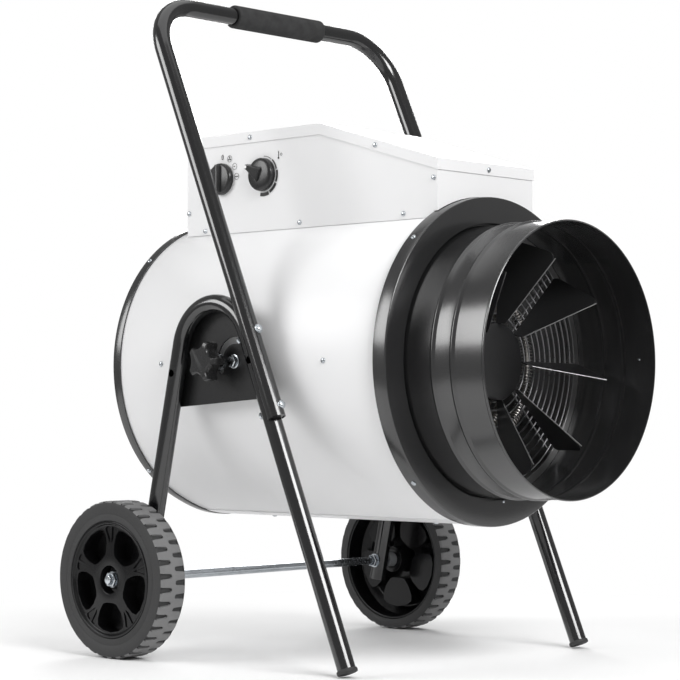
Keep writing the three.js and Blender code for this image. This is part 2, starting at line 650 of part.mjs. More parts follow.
const lidSlope = (LID.top - LID.frontTop) / (LID.bend - LID.front);
const lidZ = (y) => Math.min(LID.top, LID.top - (LID.bend - y) * lidSlope);

// Outline of the box side between two heights below the lid, from front to rear.
function boxOutline(front, rear, drop, bottom) {
  return [[front, bottom], [rear, bottom], [rear, LID.top - drop], [LID.bend, LID.top - drop],
    [front, lidZ(front) - drop]];
}

const alongDrum = (radius, from, to) => rodY(radius, from, to, DRUM_SIDES).translate(0, 0, DRUM.axisZ);

function boxShell() {
  const { halfX, front, rear, wall } = BOX;
  const outside = prismX(boxOutline(front, rear, LID.wall + GAP, 640), -halfX, halfX);
  const inside = block(-halfX + wall, halfX - wall, front + wall, rear - wall, 600, 900);
  const spindleHoles = [SELECTOR, THERMOSTAT].map(({ y, z }) => rodX(6, -halfX - 10, -halfX + 10, 8).translate(0, y, z));
  const glandHole = rodY(12.6, rear - 10, rear + 10, SMALL_SIDES).translate(GLAND.x, 0, GLAND.z);
  const drumSaddle = alongDrum(DRUM.radius + GAP + 0.2, -400, 500);
  const flangeSaddle = alongDrum(FLANGE.radius + GAP + 0.2, -400, FLANGE.rear + GAP + 0.2);
  return cut(outside, inside, drumSaddle, flangeSaddle, ...spindleHoles, glandHole);
}

function boxLid() {
  const { halfX, front, rear, lip, wall, top, bend } = LID;
  const lipLine = [[front, lidZ(front) - lip], [bend, top - lip], [rear, top - lip]];
  const topLine = [[rear, top], [bend, top], [front, lidZ(front)]];
  const outside = prismX([...lipLine, ...topLine], -halfX, halfX);
  const inside = prismX(boxOutline(front + wall, rear - wall, wall, 600), -halfX + wall, halfX - wall);
  return cut(outside, inside);
}

// ---- controls ----

function selectorKnob() {
  const { radius, height } = SELECTOR;
  const disc = revolve([[0, 0], [radius, 0], [radius - 1, 8], [radius - 5, 10], [0, 10]], 24);
  const bar = block(-4.5, 4.5, 9, height, -radius + 3, radius - 3);
  const bore = rodY(4.2, -1, 6, 8);
  return cut(join(disc, bar), bore);
}

function thermostatKnob() {
  const { radius, height, pointer } = THERMOSTAT;
  const dome = revolve([[0, 0], [radius, 0], [radius - 1, 12], [radius - 5, 15], [0, height - 3]], 24);
  const nose = new THREE.Shape([
    new THREE.Vector2(0, -14), new THREE.Vector2(pointer - 4, -5), new THREE.Vector2(pointer, 0),
    new THREE.Vector2(pointer - 4, 5), new THREE.Vector2(0, 14),
  ]);
  const wing = new THREE.ExtrudeGeometry(nose, { depth: height - 1, bevelEnabled: false });
  wing.rotateX(Math.PI / 2).translate(0, height, 0);
  const bore = rodY(4.2, -1, 6, 8);
  return cut(join(dome, wing), bore);
}

const spindle = () => rodY(3.8, -9, 5.6, 8);

function rotarySwitch() {
  const body = block(-22, 22, -54, -10, -22, 22);
  const terminals = [-14, 0, 14].map((z) => block(-19, 19, -60, -53, z - 4, z + 4));
  return cut(join(body, ...terminals), rodY(4.6, -30, 0, 8));
}

function thermostatBody() {
  const body = revolve([[0, -36], [20, -36], [20, -10], [0, -10]], 16);
  const base = block(-16, 16, -44, -35, -10, 10);
  return cut(join(body, base), rodY(4.6, -30, 0, 8));
}

function contactor() {
  const base = block(-28, 28, -40, 40, 0, 40);
  const head = block(-28, 28, -24, 24, 39, 66);
  return join(base, head);
}

function terminalBlock() {
  const base = block(-45, 45, -14, 14, 0, 14);
  const towers = [-36, -18, 0, 18, 36].map((x) => block(x - 7, x + 7, -10, 10, 13, 26));
  return join(base, ...towers);
}

function cableGland() {
  const { radius } = GLAND;
  const shoulder = BOX.rear + GAP;
  return revolve([
    [9, shoulder - 14], [12.2, shoulder - 14], [12.2, shoulder], [radius, shoulder], [radius, shoulder + 9],
    [13, shoulder + 11], [13, shoulder + 22], [9, shoulder + 26],
  ], SMALL_SIDES);
}

// ---- assembly ----

function add(group, name, geometry, material, position = [0, 0, 0], rotation = [0, 0, 0]) {
  const mesh = new THREE.Mesh(geometry, material);
  mesh.name = name;
  mesh.position.set(...position);
  mesh.rotation.set(...rotation);
  group.add(mesh);
  return mesh;
}

function addPair(group, name, rightGeometry, material) {
  add(group, `right_${name}`, rightGeometry, material);
  add(group, `left_${name}`, mirrored(rightGeometry), material);
}

function trolley() {
  const group = new THREE.Group();
  addPair(group, 'side_frame', sideFrame(), blackPaint);
  addPair(group, 'foot_cap', footCap(), rubber);
  addPair(group, 'pivot_plate', pivotPlate(), satinBlack);
  add(group, 'handle_tube', handle(), blackPaint);
  add(group, 'foam_grip', gripSleeve(), foam, [0, handleY(HANDLE.top), HANDLE.top]);
  addPair(group, 'upper_handle_bolt', handleBolt(HANDLE_BOLTS[0]), zinc);
  addPair(group, 'lower_handle_bolt', handleBolt(HANDLE_BOLTS[1]), zinc);
  add(group, 'axle_rod', axle(), zinc);
  addPair(group, 'axle_nut', axleNut(), zinc);
  return group;
}

function wheel(side) {
  const group = new THREE.Group();
  const outward = side === 'right' ? 1 : -1;
  group.position.set(-outward * WHEEL.inner, AXLE.y, AXLE.z);
  group.rotation.z = (outward * Math.PI) / 2;
  add(group, `${side}_tyre`, tyre(), rubber);
  add(group, `${side}_rim`, rim(), rimPlastic);
  add(group, `${side}_hub_bush`, hubBush(), greyPlastic);
  return group;
}

function heatingSection() {
  const group = new THREE.Group();
  OUTER_ELEMENTS.planes.forEach((y, i) => add(group, `outer_element_${i + 1}`, element(OUTER_ELEMENTS, y), heaterTube));
  INNER_ELEMENTS.planes.forEach((y, i) => add(group, `inner_element_${i + 1}`, element(INNER_ELEMENTS, y), heaterTube));
  add(group, 'element_support', elementSupport(), steel);
  add(group, 'terminal_plate', terminalPlate(), ceramic);
  add(group, 'heat_shield', heatShield(), steel);
  return group;
}

function drumGroup() {
  const group = new THREE.Group();
  group.position.z = DRUM.axisZ;
  add(group, 'drum_shell', drumShell(), whitePaint);
  add(group, 'rear_edge_trim', rearTrim(), satinBlack);
  add(group, 'front_flange', frontFlange(), satinBlack);
  add(group, 'outlet_collar', outletCollar(), satinBlack);
  add(group, 'outlet_guard', wireGuard(GUARD, HUB.radius + GAP, SHIELD.radius - SHIELD.wall - 1.5), steel);
  add(group, 'inlet_guard', wireGuard(INLET_GUARD, 30, DRUM.radius - DRUM.wall - 1.8), blackPaint);
  add(group, 'flow_deflector', flowDeflector(), satinBlack);
  add(group, 'fan_motor', fanMotor(), greyPlastic);
  add(group, 'motor_bracket', motorBracket(), steel);
  add(group, 'fan_impeller', fanImpeller(), satinBlack);
  add(group, 'motor_shaft', rodY(SHAFT_RADIUS, FAN.front + 6, MOTOR.rear - 30.5), steel);
  group.add(heatingSection());
  return group;
}

function tiltHardware() {
  const group = new THREE.Group();
  addPair(group, 'pivot_bolt', pivotBolt(), zinc);
  addPair(group, 'side_bracket', sideBracket(), steel);
  addPair(group, 'lock_knob', starKnob(), knobPlastic);
  addPair(group, 'pivot_spacer', pivotSpacer(), zinc);
  return group;
}

// A control on the right wall of the box: its own frame has Y outwards and Z up.
function controlGroup({ y, z }) {
  const group = new THREE.Group();
  group.position.set(-BOX.halfX - GAP, y, z);
  group.rotation.z = Math.PI / 2;
  return group;
}

function controlBox() {
  const group = new THREE.Group();
  add(group, 'box_shell', boxShell(), whitePaint);
  add(group, 'box_lid', boxLid(), whitePaint);
  add(group, 'cable_gland', cableGland(), greyPlastic, [GLAND.x, 0, GLAND.z]);
  const deckZ = DRUM.axisZ + DRUM.radius + 6;
  add(group, 'mounting_plate', block(-110, 110, -80, 335, deckZ, deckZ + 2), steel);
  add(group, 'contactor_1', contactor(), greyPlastic, [50, 20, deckZ + 2 + GAP]);
  add(group, 'contactor_2', contactor(), greyPlastic, [50, 120, deckZ + 2 + GAP]);
  add(group, 'terminal_block', terminalBlock(), ceramic, [40, 250, deckZ + 2 + GAP]);
  const selector = controlGroup(SELECTOR);
  add(selector, 'selector_knob', selectorKnob(), knobPlastic);
  add(selector, 'selector_spindle', spindle(), steel);
  add(selector, 'selector_switch', rotarySwitch(), greyPlastic);
  const thermostat = controlGroup(THERMOSTAT);
  add(thermostat, 'thermostat_knob', thermostatKnob(), knobPlastic, [0, 0, 0], [0, -radians(THERMOSTAT.pointerAngle), 0]);
  add(thermostat, 'thermostat_spindle', spindle(), steel);
  add(thermostat, 'thermostat_switch', thermostatBody(), greyPlastic);
  group.add(selector, thermostat);
  return group;
}

const heater = new THREE.Group();
heater.add(trolley(), wheel('right'), wheel('left'), drumGroup(), tiltHardware(), controlBox());

export default heater;
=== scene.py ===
"""Looks of a wheeled forced air heater: white drum with a black outlet collar, tube trolley, control box.

All sizes are in millimetres in the CAD frame: +Z up, the outlet faces -Y, the control knobs face -X.
The right side is -X. Unless said otherwise, a pair is made on the right and mirrored to the left.
"""

import bpy
import bmesh
import json
import math
import numpy as np
from mathutils import Matrix, Vector
from mathutils.geometry import tessellate_polygon

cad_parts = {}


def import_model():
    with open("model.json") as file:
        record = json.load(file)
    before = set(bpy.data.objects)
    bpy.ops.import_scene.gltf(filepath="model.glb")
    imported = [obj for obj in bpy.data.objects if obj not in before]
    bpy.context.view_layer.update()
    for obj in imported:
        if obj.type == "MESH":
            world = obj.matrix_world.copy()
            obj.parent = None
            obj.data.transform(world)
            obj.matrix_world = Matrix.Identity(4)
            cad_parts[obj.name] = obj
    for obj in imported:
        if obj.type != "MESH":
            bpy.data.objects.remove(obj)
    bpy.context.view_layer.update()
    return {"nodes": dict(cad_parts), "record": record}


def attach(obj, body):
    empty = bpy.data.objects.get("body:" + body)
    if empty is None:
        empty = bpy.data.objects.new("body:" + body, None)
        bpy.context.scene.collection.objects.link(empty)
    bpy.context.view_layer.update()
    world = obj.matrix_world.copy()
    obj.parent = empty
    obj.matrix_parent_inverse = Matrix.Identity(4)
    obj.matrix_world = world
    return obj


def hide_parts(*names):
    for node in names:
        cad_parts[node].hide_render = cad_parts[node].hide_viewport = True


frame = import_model()


# ---- driving dimensions; a place on the side of the object is (y, z) ----

MM = 0.001

FRAME_X = 280.0
TUBE_RADIUS = 14
TUBE_BORE = 12.5
FRONT_FOOT_Y = -184.3           # the front leg where it meets the floor
FRONT_SLOPE = 0.4228            # change of y per millimetre of height
REAR_SLOPE = 0.223
LEG_LOW = 7.64                  # the front tube ends here, inside its foot cap
REAR_LEG_LOW = 92
ARCH_RADIUS = 78

HANDLE_RADIUS = 14.25
HANDLE_LEVEL = 450              # HANDLE_X and HANDLE_Y are the handle's place at this height
HANDLE_X = 283.4
HANDLE_Y = -7.2
HANDLE_SLOPE = 0.442
HANDLE_TAPER = 0.0076
HANDLE_LOW = 382
HANDLE_TOP = 1058.6
HANDLE_BEND = 90
HANDLE_BOLTS = {"upper": 509.5, "lower": 392.5}
GRIP_X = 12
GRIP_HALF = 103
GRIP_RADIUS = 19.5

PIVOT = (75.0, 470.3)
PIVOT_BOLT = 5
PLATE_FACES = (-265.6, -262.6)
PLATE_LAP = 8.0                 # how far the plate reaches behind the middle of the tube
PLATE_FRONT_LOW = 414
PLATE_REAR_LOW = 398.5
LOCK = (108.0, 470.3)
LOCK_ORBIT = 33                 # middle of the slot that the locking stud runs in, round the pivot
LOCK_HALF = 5.5                 # half the width of that slot
LOCK_START = -25                # ends of its middle line in degrees, from the rear upwards
LOCK_END = 97

AXLE = (265.0, 125.0)
AXLE_RADIUS = 7
AXLE_END = 362
WHEEL_INNER = 306.3             # x of a wheel's inner side
WHEEL_RADIUS = 125
WHEEL_WIDTH = 53

DRUM_Z = 469.3
DRUM_RADIUS = 247.6
DRUM_FRONT = -232.5
DRUM_REAR = 379.5
SEAM_RISE = 5.0                 # bulge of the drum at its lapped bottom seam
SEAM_HALF = math.radians(27)    # angle over which the bulge fades on each side
FLANGE_RADIUS = 256.4
COLLAR_RADIUS = 211.3
COLLAR_BORE = 210.0
COLLAR_BEADS = (-287.4, -325.2)
BEAD_HEIGHT = 2.7
LINER_RADIUS = 198
TERMINAL_Z = 742

BOX_SIDE = 116
BOX_FRONT = -216
BOX_REAR = 346.6
LID_SIDE = 117.5
LID_FRONT = -217.5
LID_REAR = 348
LID_BEND = 33                   # y of the bend between the sloping and the level part
LID_TOP = 855
LID_FRONT_TOP = 780
LID_SLOPE = (LID_TOP - LID_FRONT_TOP) / (LID_BEND - LID_FRONT)
LID_LIP = 18.5
SELECTOR = (260.5, 781)
THERMOSTAT = (162.5, 781.5)
POINTER_ANGLE = -25.5


# ---- materials ----

def add(tree, kind, **inputs):
    """New shader node; each input takes a value or another node's output, with _ for a space in its name."""
    node = tree.nodes.new("ShaderNode" + kind)
    for name, value in inputs.items():
        socket = node.inputs[name.replace("_", " ")]
        if isinstance(value, bpy.types.NodeSocket):
            tree.links.new(value, socket)
        else:
            socket.default_value = value
    return node


def emptied_tree(owner):
    owner.use_nodes = True
    owner.node_tree.nodes.clear()
    return owner.node_tree


def object_place(tree):
    return add(tree, "TexCoord").outputs["Object"]


def noise(tree, scale, detail):
    return add(tree, "TexNoise", Vector=object_place(tree), Scale=scale, Detail=detail).outputs["Fac"]


def ramp(tree, factor, low, high):
    node = add(tree, "ValToRGB", Fac=factor)
    for stop, place, color in zip(node.color_ramp.elements, (0.3, 0.7), (low, high)):
        stop.position = place
        stop.color = (*color, 1)
    return node.outputs["Color"]


def surface(name, color, spread, roughness, metal=0.0, patch=6.0, grain=900.0, bump=0.02, specular=0.5):
    """Colour drifts by spread over patches; a fine grain varies the roughness and is a slight relief."""
    material = bpy.data.materials.new(name)
    tree = emptied_tree(material)
    low, high = [[c * share for c in color] for share in (1 - spread, 1 + spread)]
    drift = ramp(tree, noise(tree, patch, 4.0), low, high)
    fine = noise(tree, grain, 2.0)
    rough = ramp(tree, fine, [roughness[0]] * 3, [roughness[1]] * 3)
    relief = add(tree, "Bump", Strength=bump, Distance=0.5 * MM, Height=fine)
    shader = add(tree, "BsdfPrincipled", Base_Color=drift, Roughness=rough, Normal=relief.outputs["Normal"],
                 Metallic=metal, Specular_IOR_Level=specular)
    add(tree, "OutputMaterial", Surface=shader.outputs["BSDF"])
    return material


WHITE = surface("white_powder_coat", (0.83, 0.83, 0.835), 0.012, (0.28, 0.36), grain=700, bump=0.05,
                specular=0.25)
BLACK_GLOSS = surface("black_gloss_paint", (0.0045, 0.0045, 0.005), 0.2, (0.13, 0.18), grain=500, bump=0.03,
                      specular=1.0)
BLACK_SATIN = surface("black_heat_paint", (0.016, 0.016, 0.0165), 0.15, (0.19, 0.25), bump=0.04, specular=1.0)
BLACK_PLATE = surface("black_plate_paint", (0.012, 0.012, 0.0125), 0.15, (0.27, 0.34), grain=800, bump=0.05)
BLACK_VANE = surface("vane_paint", (0.008, 0.008, 0.0085), 0.2, (0.40, 0.5), grain=800, bump=0.05)
# Light metal for the vanes' front lips: a painted highlight along those edges; the lamps' reflections on it
# are real.
EDGE_HIGHLIGHT = surface("painted_edge_highlight", (0.28, 0.28, 0.28), 0.15, (0.28, 0.4), metal=1.0, patch=20, grain=400, bump=0.05)
RUBBER = surface("tyre_rubber", (0.030, 0.030, 0.0305), 0.15, (0.62, 0.72), grain=600, bump=0.12)
TREAD = surface("tread_rubber", (0.170, 0.170, 0.171), 0.15, (0.75, 0.85), grain=500, bump=0.2)
RIM = surface("rim_plastic", (0.005, 0.005, 0.0055), 0.15, (0.18, 0.25), bump=0.04, specular=0.3)
KNOB = surface("knob_plastic", (0.018, 0.018, 0.0185), 0.15, (0.22, 0.29), bump=0.06)
ZINC = surface("zinc_plate", (0.52, 0.55, 0.58), 0.08, (0.20, 0.28), metal=1.0, patch=30, grain=300,
               bump=0.01)
STEEL = surface("guard_steel", (0.42, 0.42, 0.43), 0.12, (0.26, 0.4), metal=1.0, patch=20, grain=400,
                bump=0.05)
SHEET = surface("shield_sheet", (0.22, 0.22, 0.22), 0.15, (0.35, 0.5), metal=1.0, patch=10, grain=300,
                bump=0.05)
ELEMENT = surface("element_steel", (0.50, 0.48, 0.46), 0.2, (0.3, 0.45), metal=1.0, patch=25, grain=300,
                  bump=0.05)
FOAM = surface("foam_sleeve", (0.038, 0.038, 0.0385), 0.2, (0.85, 0.95), patch=60, grain=1400, bump=0.5,
               specular=0.25)
GREY = surface("grey_moulding", (0.16, 0.165, 0.17), 0.1, (0.45, 0.55), bump=0.06)
CERAMIC = surface("ceramic_body", (0.66, 0.62, 0.55), 0.06, (0.5, 0.6), grain=700, bump=0.08)
PRINT = surface("black_print", (0.018, 0.018, 0.018), 0.1, (0.5, 0.6))
DOT = surface("white_mark", (0.85, 0.85, 0.85), 0.02, (0.4, 0.5))

SLOT_MATERIALS = {
    "white_paint": WHITE, "black_paint": BLACK_GLOSS, "satin_black": BLACK_SATIN, "zinc": ZINC,
    "steel": SHEET, "heater_tube": ELEMENT, "rubber": RUBBER, "rim_plastic": RIM, "knob_plastic": KNOB,
    "grey_plastic": GREY, "ceramic": CERAMIC, "foam": FOAM,
}


# ---- geometry: a part is (list of points, list of faces) ----

SHARP = 32.0                    # faces that meet at more degrees than this keep a hard edge between them


def merged(*parts):
    points, faces = [], []
    for part_points, part_faces in parts:
        offset = len(points)
        points.extend(part_points)
        faces.extend([tuple(i + offset for i in face) for face in part_faces])
    return points, faces


def moved(part, x=0.0, y=0.0, z=0.0):
    points, faces = part
    return [(px + x, py + y, pz + z) for px, py, pz in points], faces


def turned(part, axis, degrees):
    matrix = Matrix.Rotation(math.radians(degrees), 3, axis)
    points, faces = part
    return [tuple(matrix @ Vector(p)) for p in points], faces


def mirrored(part):
    points, faces = part
    return [(-x, y, z) for x, y, z in points], [tuple(reversed(face)) for face in faces]


def as_made(part):
    return part


BOTH = (("right", as_made), ("left", mirrored))


def around(centre, radius, degrees):
    """2D point at an angle round a centre."""
    angle = math.radians(degrees)
    return centre[0] + radius * math.cos(angle), centre[1] + radius * math.sin(angle)


def circle(a, b, radius, sides=32):
    angles = [2 * math.pi * i / sides for i in range(sides)]
    return [(a + radius * math.cos(angle), b + radius * math.sin(angle)) for angle in angles]


def rounded(points, radius, steps=3):
    """Closed 2D outline with each corner rounded by at most radius, which may be a list, one per corner."""
    most = 0.49                 # share of an edge that one corner may take
    nearly_flat = math.radians(1)
    result = []
    count = len(points)
    for i, corner in enumerate(points):
        r = radius[i] if isinstance(radius, list) else radius
        here = Vector(corner)
        back = Vector(points[i - 1]) - here
        ahead = Vector(points[(i + 1) % count]) - here
        angle = back.angle(ahead)
        if r <= 0 or not nearly_flat < angle < math.pi - nearly_flat:
            result.append(tuple(here))
            continue
        reach = min(r / math.tan(angle / 2), back.length * most, ahead.length * most)
        r = reach * math.tan(angle / 2)
        start = here + back.normalized() * reach
        end = here + ahead.normalized() * reach
        centre = here + (back.normalized() + ahead.normalized()).normalized() * (r / math.sin(angle / 2))
        a, b = start - centre, end - centre
        sweep_angle = math.pi - angle
        for step in range(steps + 1):
            t = step / steps
            k0 = math.sin((1 - t) * sweep_angle) / math.sin(sweep_angle)
            k1 = math.sin(t * sweep_angle) / math.sin(sweep_angle)
            result.append(tuple(centre + a * k0 + b * k1))
    return result


def band(low, high):
    """Faces between two rings of point numbers, each ring with the same count."""
    return [(low[i - 1], low[i], high[i], high[i - 1]) for i in [*range(1, len(low)), 0]]


def lathe(profile, sides=96):
    """Profile of (radius, y) pairs turned about Y: a closed loop, or open with both ends on the axis."""
    points, rings = [], []
    for radius, y in profile:
        if radius < 1e-6:
            rings.append([len(points)] * sides)
            points.append((0.0, y, 0.0))
            continue
        rings.append(list(range(len(points), len(points) + sides)))
        points.extend([(a, y, b) for a, b in circle(0.0, 0.0, radius, sides)])
    faces = []
    pairs = list(zip(rings, rings[1:]))
    if profile[0][0] > 0:
        pairs.append((rings[-1], rings[0]))
    for low, high in pairs:
        corners = [tuple(dict.fromkeys(face)) for face in band(low, high)]
        faces += [face for face in corners if len(face) > 2]
    return points, faces


def wall(outer, inner, low, high):
    """Profile of a plain ring between two radii and two places along Y."""
    return [(outer, low), (outer, high), (inner, high), (inner, low)]


def rod(radius, low, high, sides=24, edge=0.0):
    """Cylinder along Y with its ends' edges rounded."""
    if edge <= 0:
        return lathe([(0, low), (radius, low), (radius, high), (0, high)], sides)
    bit = edge * 0.3
    outline = [(0, low), (radius - edge, low), (radius - bit, low + bit), (radius, low + edge),
               (radius, high - edge), (radius - bit, high - bit), (radius - edge, high), (0, high)]
    return lathe(outline, sides)


def along_x(part):
    """A part made along Y is laid along X: its +Y end points to +X."""
    return turned(part, "Z", -90)


def sweep(path, outer, inner=0.0, sides=28):
    """Round tube along a list of points, open at its ends, or a solid rod when inner is 0."""
    path = np.array(path, float)
    steps = np.diff(path, axis=0)
    steps /= np.linalg.norm(steps, axis=1)[:, None]
    tangents = np.vstack([steps[:1], steps[1:] + steps[:-1], steps[-1:]])
    tangents /= np.linalg.norm(tangents, axis=1)[:, None]
    seed = np.array([1.0, 0, 0]) if abs(tangents[0][0]) < 0.9 else np.array([0, 1.0, 0])
    normal = seed - tangents[0] * seed.dot(tangents[0])
    normal /= np.linalg.norm(normal)
    radii = [outer] if inner <= 0 else [outer, inner]
    turns = [2 * math.pi * i / sides for i in range(sides)]
    points = []
    for position, tangent in zip(path, tangents):
        normal = normal - tangent * normal.dot(tangent)
        normal /= np.linalg.norm(normal)
        side = np.cross(tangent, normal)
        for radius in radii:
            for angle in turns:
                points.append(tuple(position + radius * (math.cos(angle) * normal + math.sin(angle) * side)))
    layers = len(radii)
    rings = [range(k * sides, (k + 1) * sides) for k in range(len(path) * layers)]
    faces = []
    for k, (low, high) in enumerate(zip(rings, rings[layers:])):
        faces += band(high, low) if k % layers else band(low, high)
    if inner <= 0:
        faces += [tuple(reversed(rings[0])), tuple(rings[-1])]
    else:
        faces += band(rings[1], rings[0]) + band(rings[-2], rings[-1])
    return points, faces


def bent(corners, radius, steps=16):
    """Path through corners whose bends are arcs of the given radius."""
    corners = [Vector(c) for c in corners]
    path = [corners[0]]
    for before, here, after in zip(corners, corners[1:], corners[2:]):
        d1, d2 = (here - before).normalized(), (after - here).normalized()
        turn = d1.angle(d2)
        inward = (d2 - d1 * d1.dot(d2)).normalized()
        centre = here - d1 * radius * math.tan(turn / 2) + inward * radius
        for step in range(steps + 1):
            angle = turn * step / steps
            path.append(centre + radius * (d1 * math.sin(angle) - inward * math.cos(angle)))
    path.append(corners[-1])
    return path


def inset(loop, amount, hole):
    """Outline moved inwards by an amount, or outwards if it is a hole's."""
    area = sum(p[0] * q[1] - q[0] * p[1] for p, q in zip(loop, loop[1:] + loop[:1]))
    sign = (1 if area > 0 else -1) * (-1 if hole else 1)
    result = []
    for i in range(len(loop)):
        p, q, r = Vector(loop[i - 1]), Vector(loop[i]), Vector(loop[(i + 1) % len(loop)])
        d1, d2 = (q - p).normalized(), (r - q).normalized()
        n1, n2 = Vector((-d1.y, d1.x)) * sign, Vector((-d2.y, d2.x)) * sign
        middle = n1 + n2
        if middle.length < 1e-6:
            middle = n1
        middle.normalize()
        result.append(tuple(q + middle * (amount / max(0.3, middle.dot(n1)))))
    return result


def prism(outline, low, high, holes=(), edge=0.0):
    """Outline in (a, b) with holes, thickened along c from low to high, as points (a, b, c)."""
    loops = [list(outline)] + [list(hole) for hole in holes]
    levels = [(low, 0.0), (high, 0.0)]
    if edge > 0:
        levels = [(low, edge), (low + edge, 0.0), (high - edge, 0.0), (high, edge)]
    points, faces, rings = [], [], []
    for c, amount in levels:
        level = []
        for k, loop in enumerate(loops):
            shape = inset(loop, amount, k > 0) if amount else loop
            level.append(list(range(len(points), len(points) + len(shape))))
            points.extend([(a, b, c) for a, b in shape])
        rings.append(level)
    for lower, upper in zip(rings, rings[1:]):
        for ring_low, ring_high in zip(lower, upper):
            faces += band(ring_low, ring_high)
    for level, flip in ((rings[0], True), (rings[-1], False)):
        flat = [i for ring in level for i in ring]
        polygons = [[Vector(points[i]) for i in ring] for ring in level]
        for triangle in tessellate_polygon(polygons):
            face = tuple(flat[i] for i in triangle)
            faces.append(face[::-1] if flip else face)
    return points, faces


def on_side(part):
    """Points (a, b, c) of a prism stood up so that a is y, b is z and c is x."""
    points, faces = part
    return [(c, a, b) for a, b, c in points], faces


def flat_y(part):
    """Points (a, b, c) of a prism laid so that a is x, c is y and b is z."""
    points, faces = part
    return [(a, c, b) for a, b, c in points], faces


def block(x0, x1, y0, y1, z0, z1, edge=0.0):
    return prism(rounded([(x0, y0), (x1, y0), (x1, y1), (x0, y1)], edge, 2), z0, z1, edge=edge * 0.5)


def lofted(loops, capped=True):
    """Solid through loops of points with the same count, capped at its ends or joined last loop to first."""
    points = [point for loop in loops for point in loop]
    count = len(loops[0])
    rings = [range(k * count, (k + 1) * count) for k in range(len(loops))]
    faces = []
    for low, high in zip(rings, rings[1:] if capped else rings[1:] + rings[:1]):
        faces += band(low, high)
    if capped:
        faces += [tuple(reversed(rings[0])), tuple(rings[-1])]
    return points, faces


# ---- pieces ----

def mesh_object(name, part):
    points, faces = part
    mesh = bpy.data.meshes.new(name)
    mesh.from_pydata([(x * MM, y * MM, z * MM) for x, y, z in points], [], faces)
    clean = bmesh.new()
    clean.from_mesh(mesh)
    bmesh.ops.remove_doubles(clean, verts=clean.verts, dist=1e-6)
    bmesh.ops.recalc_face_normals(clean, faces=clean.faces)
    clean.to_mesh(mesh)
    clean.free()
    piece = bpy.data.objects.new(name, mesh)
    bpy.context.scene.collection.objects.link(piece)
    return piece


def shade(mesh, angle=SHARP):
    mesh.polygons.foreach_set("use_smooth", [True] * len(mesh.polygons))
    mesh.set_sharp_from_angle(angle=math.radians(angle))


def make(name, part, body, slot, replaces=(), material=None, angle=SHARP):
    """Piece from a part, riding on a CAD body and standing for the CAD nodes that it replaces."""
    piece = mesh_object(name, part)
    shade(piece.data, angle)
    for entry in material if isinstance(material, list) else [material or SLOT_MATERIALS[slot]]:
        piece.data.materials.append(entry)
    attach(piece, body)
    if replaces:
        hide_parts(*replaces)
    return piece


def carve(piece, *parts, operation="DIFFERENCE"):
    """Cuts the parts out of a piece for good, or joins them to it."""
    tool = mesh_object("cutter", merged(*parts))
    modifier = piece.modifiers.new("cut", "BOOLEAN")
    modifier.object = tool
    modifier.operation = operation
    modifier.solver = "EXACT"
    bpy.context.view_layer.update()
    evaluated = piece.evaluated_get(bpy.context.evaluated_depsgraph_get())
    mesh = bpy.data.meshes.new_from_object(evaluated)
    piece.modifiers.clear()
    piece.data = mesh
    shade(mesh)
    bpy.data.objects.remove(tool)


def soften(piece, width, segments=2, angle=50):
    """Small rounded edges that catch the light."""
    modifier = piece.modifiers.new("edges", "BEVEL")
    modifier.width = width * MM
    modifier.segments = segments
    modifier.limit_method = "ANGLE"
    modifier.angle_limit = math.radians(angle)
    modifier.harden_normals = True


# ---- screws and bolts, standing along +Y from the origin ----

def pan_head(radius=4.2, height=2.6):
    dome = [(0, 0), (radius, 0), (radius, height * 0.35), (radius * 0.92, height * 0.6),
            (radius * 0.72, height * 0.86), (radius * 0.4, height), (0, height)]
    return lathe(dome, 20)


def hexagon(across, low, high, bore=0.0, chamfer=0.8):
    """Hexagon head or nut along Y with chamfered corners."""
    outline = rounded(circle(0, 0, across / math.sqrt(3), 6), 0.6, 2)
    holes = [circle(0, 0, bore, 20)] if bore else []
    return flat_y(prism(outline, low, high, holes, edge=chamfer))


# ---- trolley ----

def front_leg_y(z):
    return FRONT_FOOT_Y + FRONT_SLOPE * z


def rear_leg_y(z):
    return AXLE[0] - REAR_SLOPE * (z - AXLE[1])


def handle_point(z, side=-1):
    rise = z - HANDLE_LEVEL
    return side * (HANDLE_X - HANDLE_TAPER * rise), HANDLE_Y + HANDLE_SLOPE * rise, z


LEG_TILT = math.degrees(math.atan(FRONT_SLOPE))
APEX = (rear_leg_y(0) - FRONT_FOOT_Y) / (FRONT_SLOPE + REAR_SLOPE)
SIDE_PATH = bent([(-FRAME_X, front_leg_y(LEG_LOW), LEG_LOW), (-FRAME_X, front_leg_y(APEX), APEX),
                  (-FRAME_X, rear_leg_y(REAR_LEG_LOW), REAR_LEG_LOW)], ARCH_RADIUS, 28)
HANDLE_PATH = bent([handle_point(HANDLE_LOW), handle_point(HANDLE_TOP), handle_point(HANDLE_TOP, 1),
                    handle_point(HANDLE_LOW, 1)], HANDLE_BEND, 20)


def across_leg(part, z):
    """A part along Y is set square to the front leg, its +Y end in front."""
    return moved(turned(part, "X", 180 - LEG_TILT), -FRAME_X, front_leg_y(z), z)


def side_frames():
    screw_places = [(leg_y(z), z) for leg_y, z in ((front_leg_y, 471), (rear_leg_y, 453))]
    hole = along_x(rod(6, -20, 0))
    head = along_x(turned(pan_head(4.6, 3.0), "X", 180))
    for side, put in BOTH:
        tube = make(f"{side}_side_tube", put(sweep(SIDE_PATH, TUBE_RADIUS, TUBE_BORE, 32)), "trolley",
                    "black_paint", [f"{side}_side_frame"])
        carve(tube, *[put(moved(hole, -FRAME_X, y, z)) for y, z in screw_places])
        screws = [moved(head, -FRAME_X + 8, y, z) for y, z in screw_places]
        make(f"{side}_plate_screws", put(merged(*screws)), "trolley", "zinc")


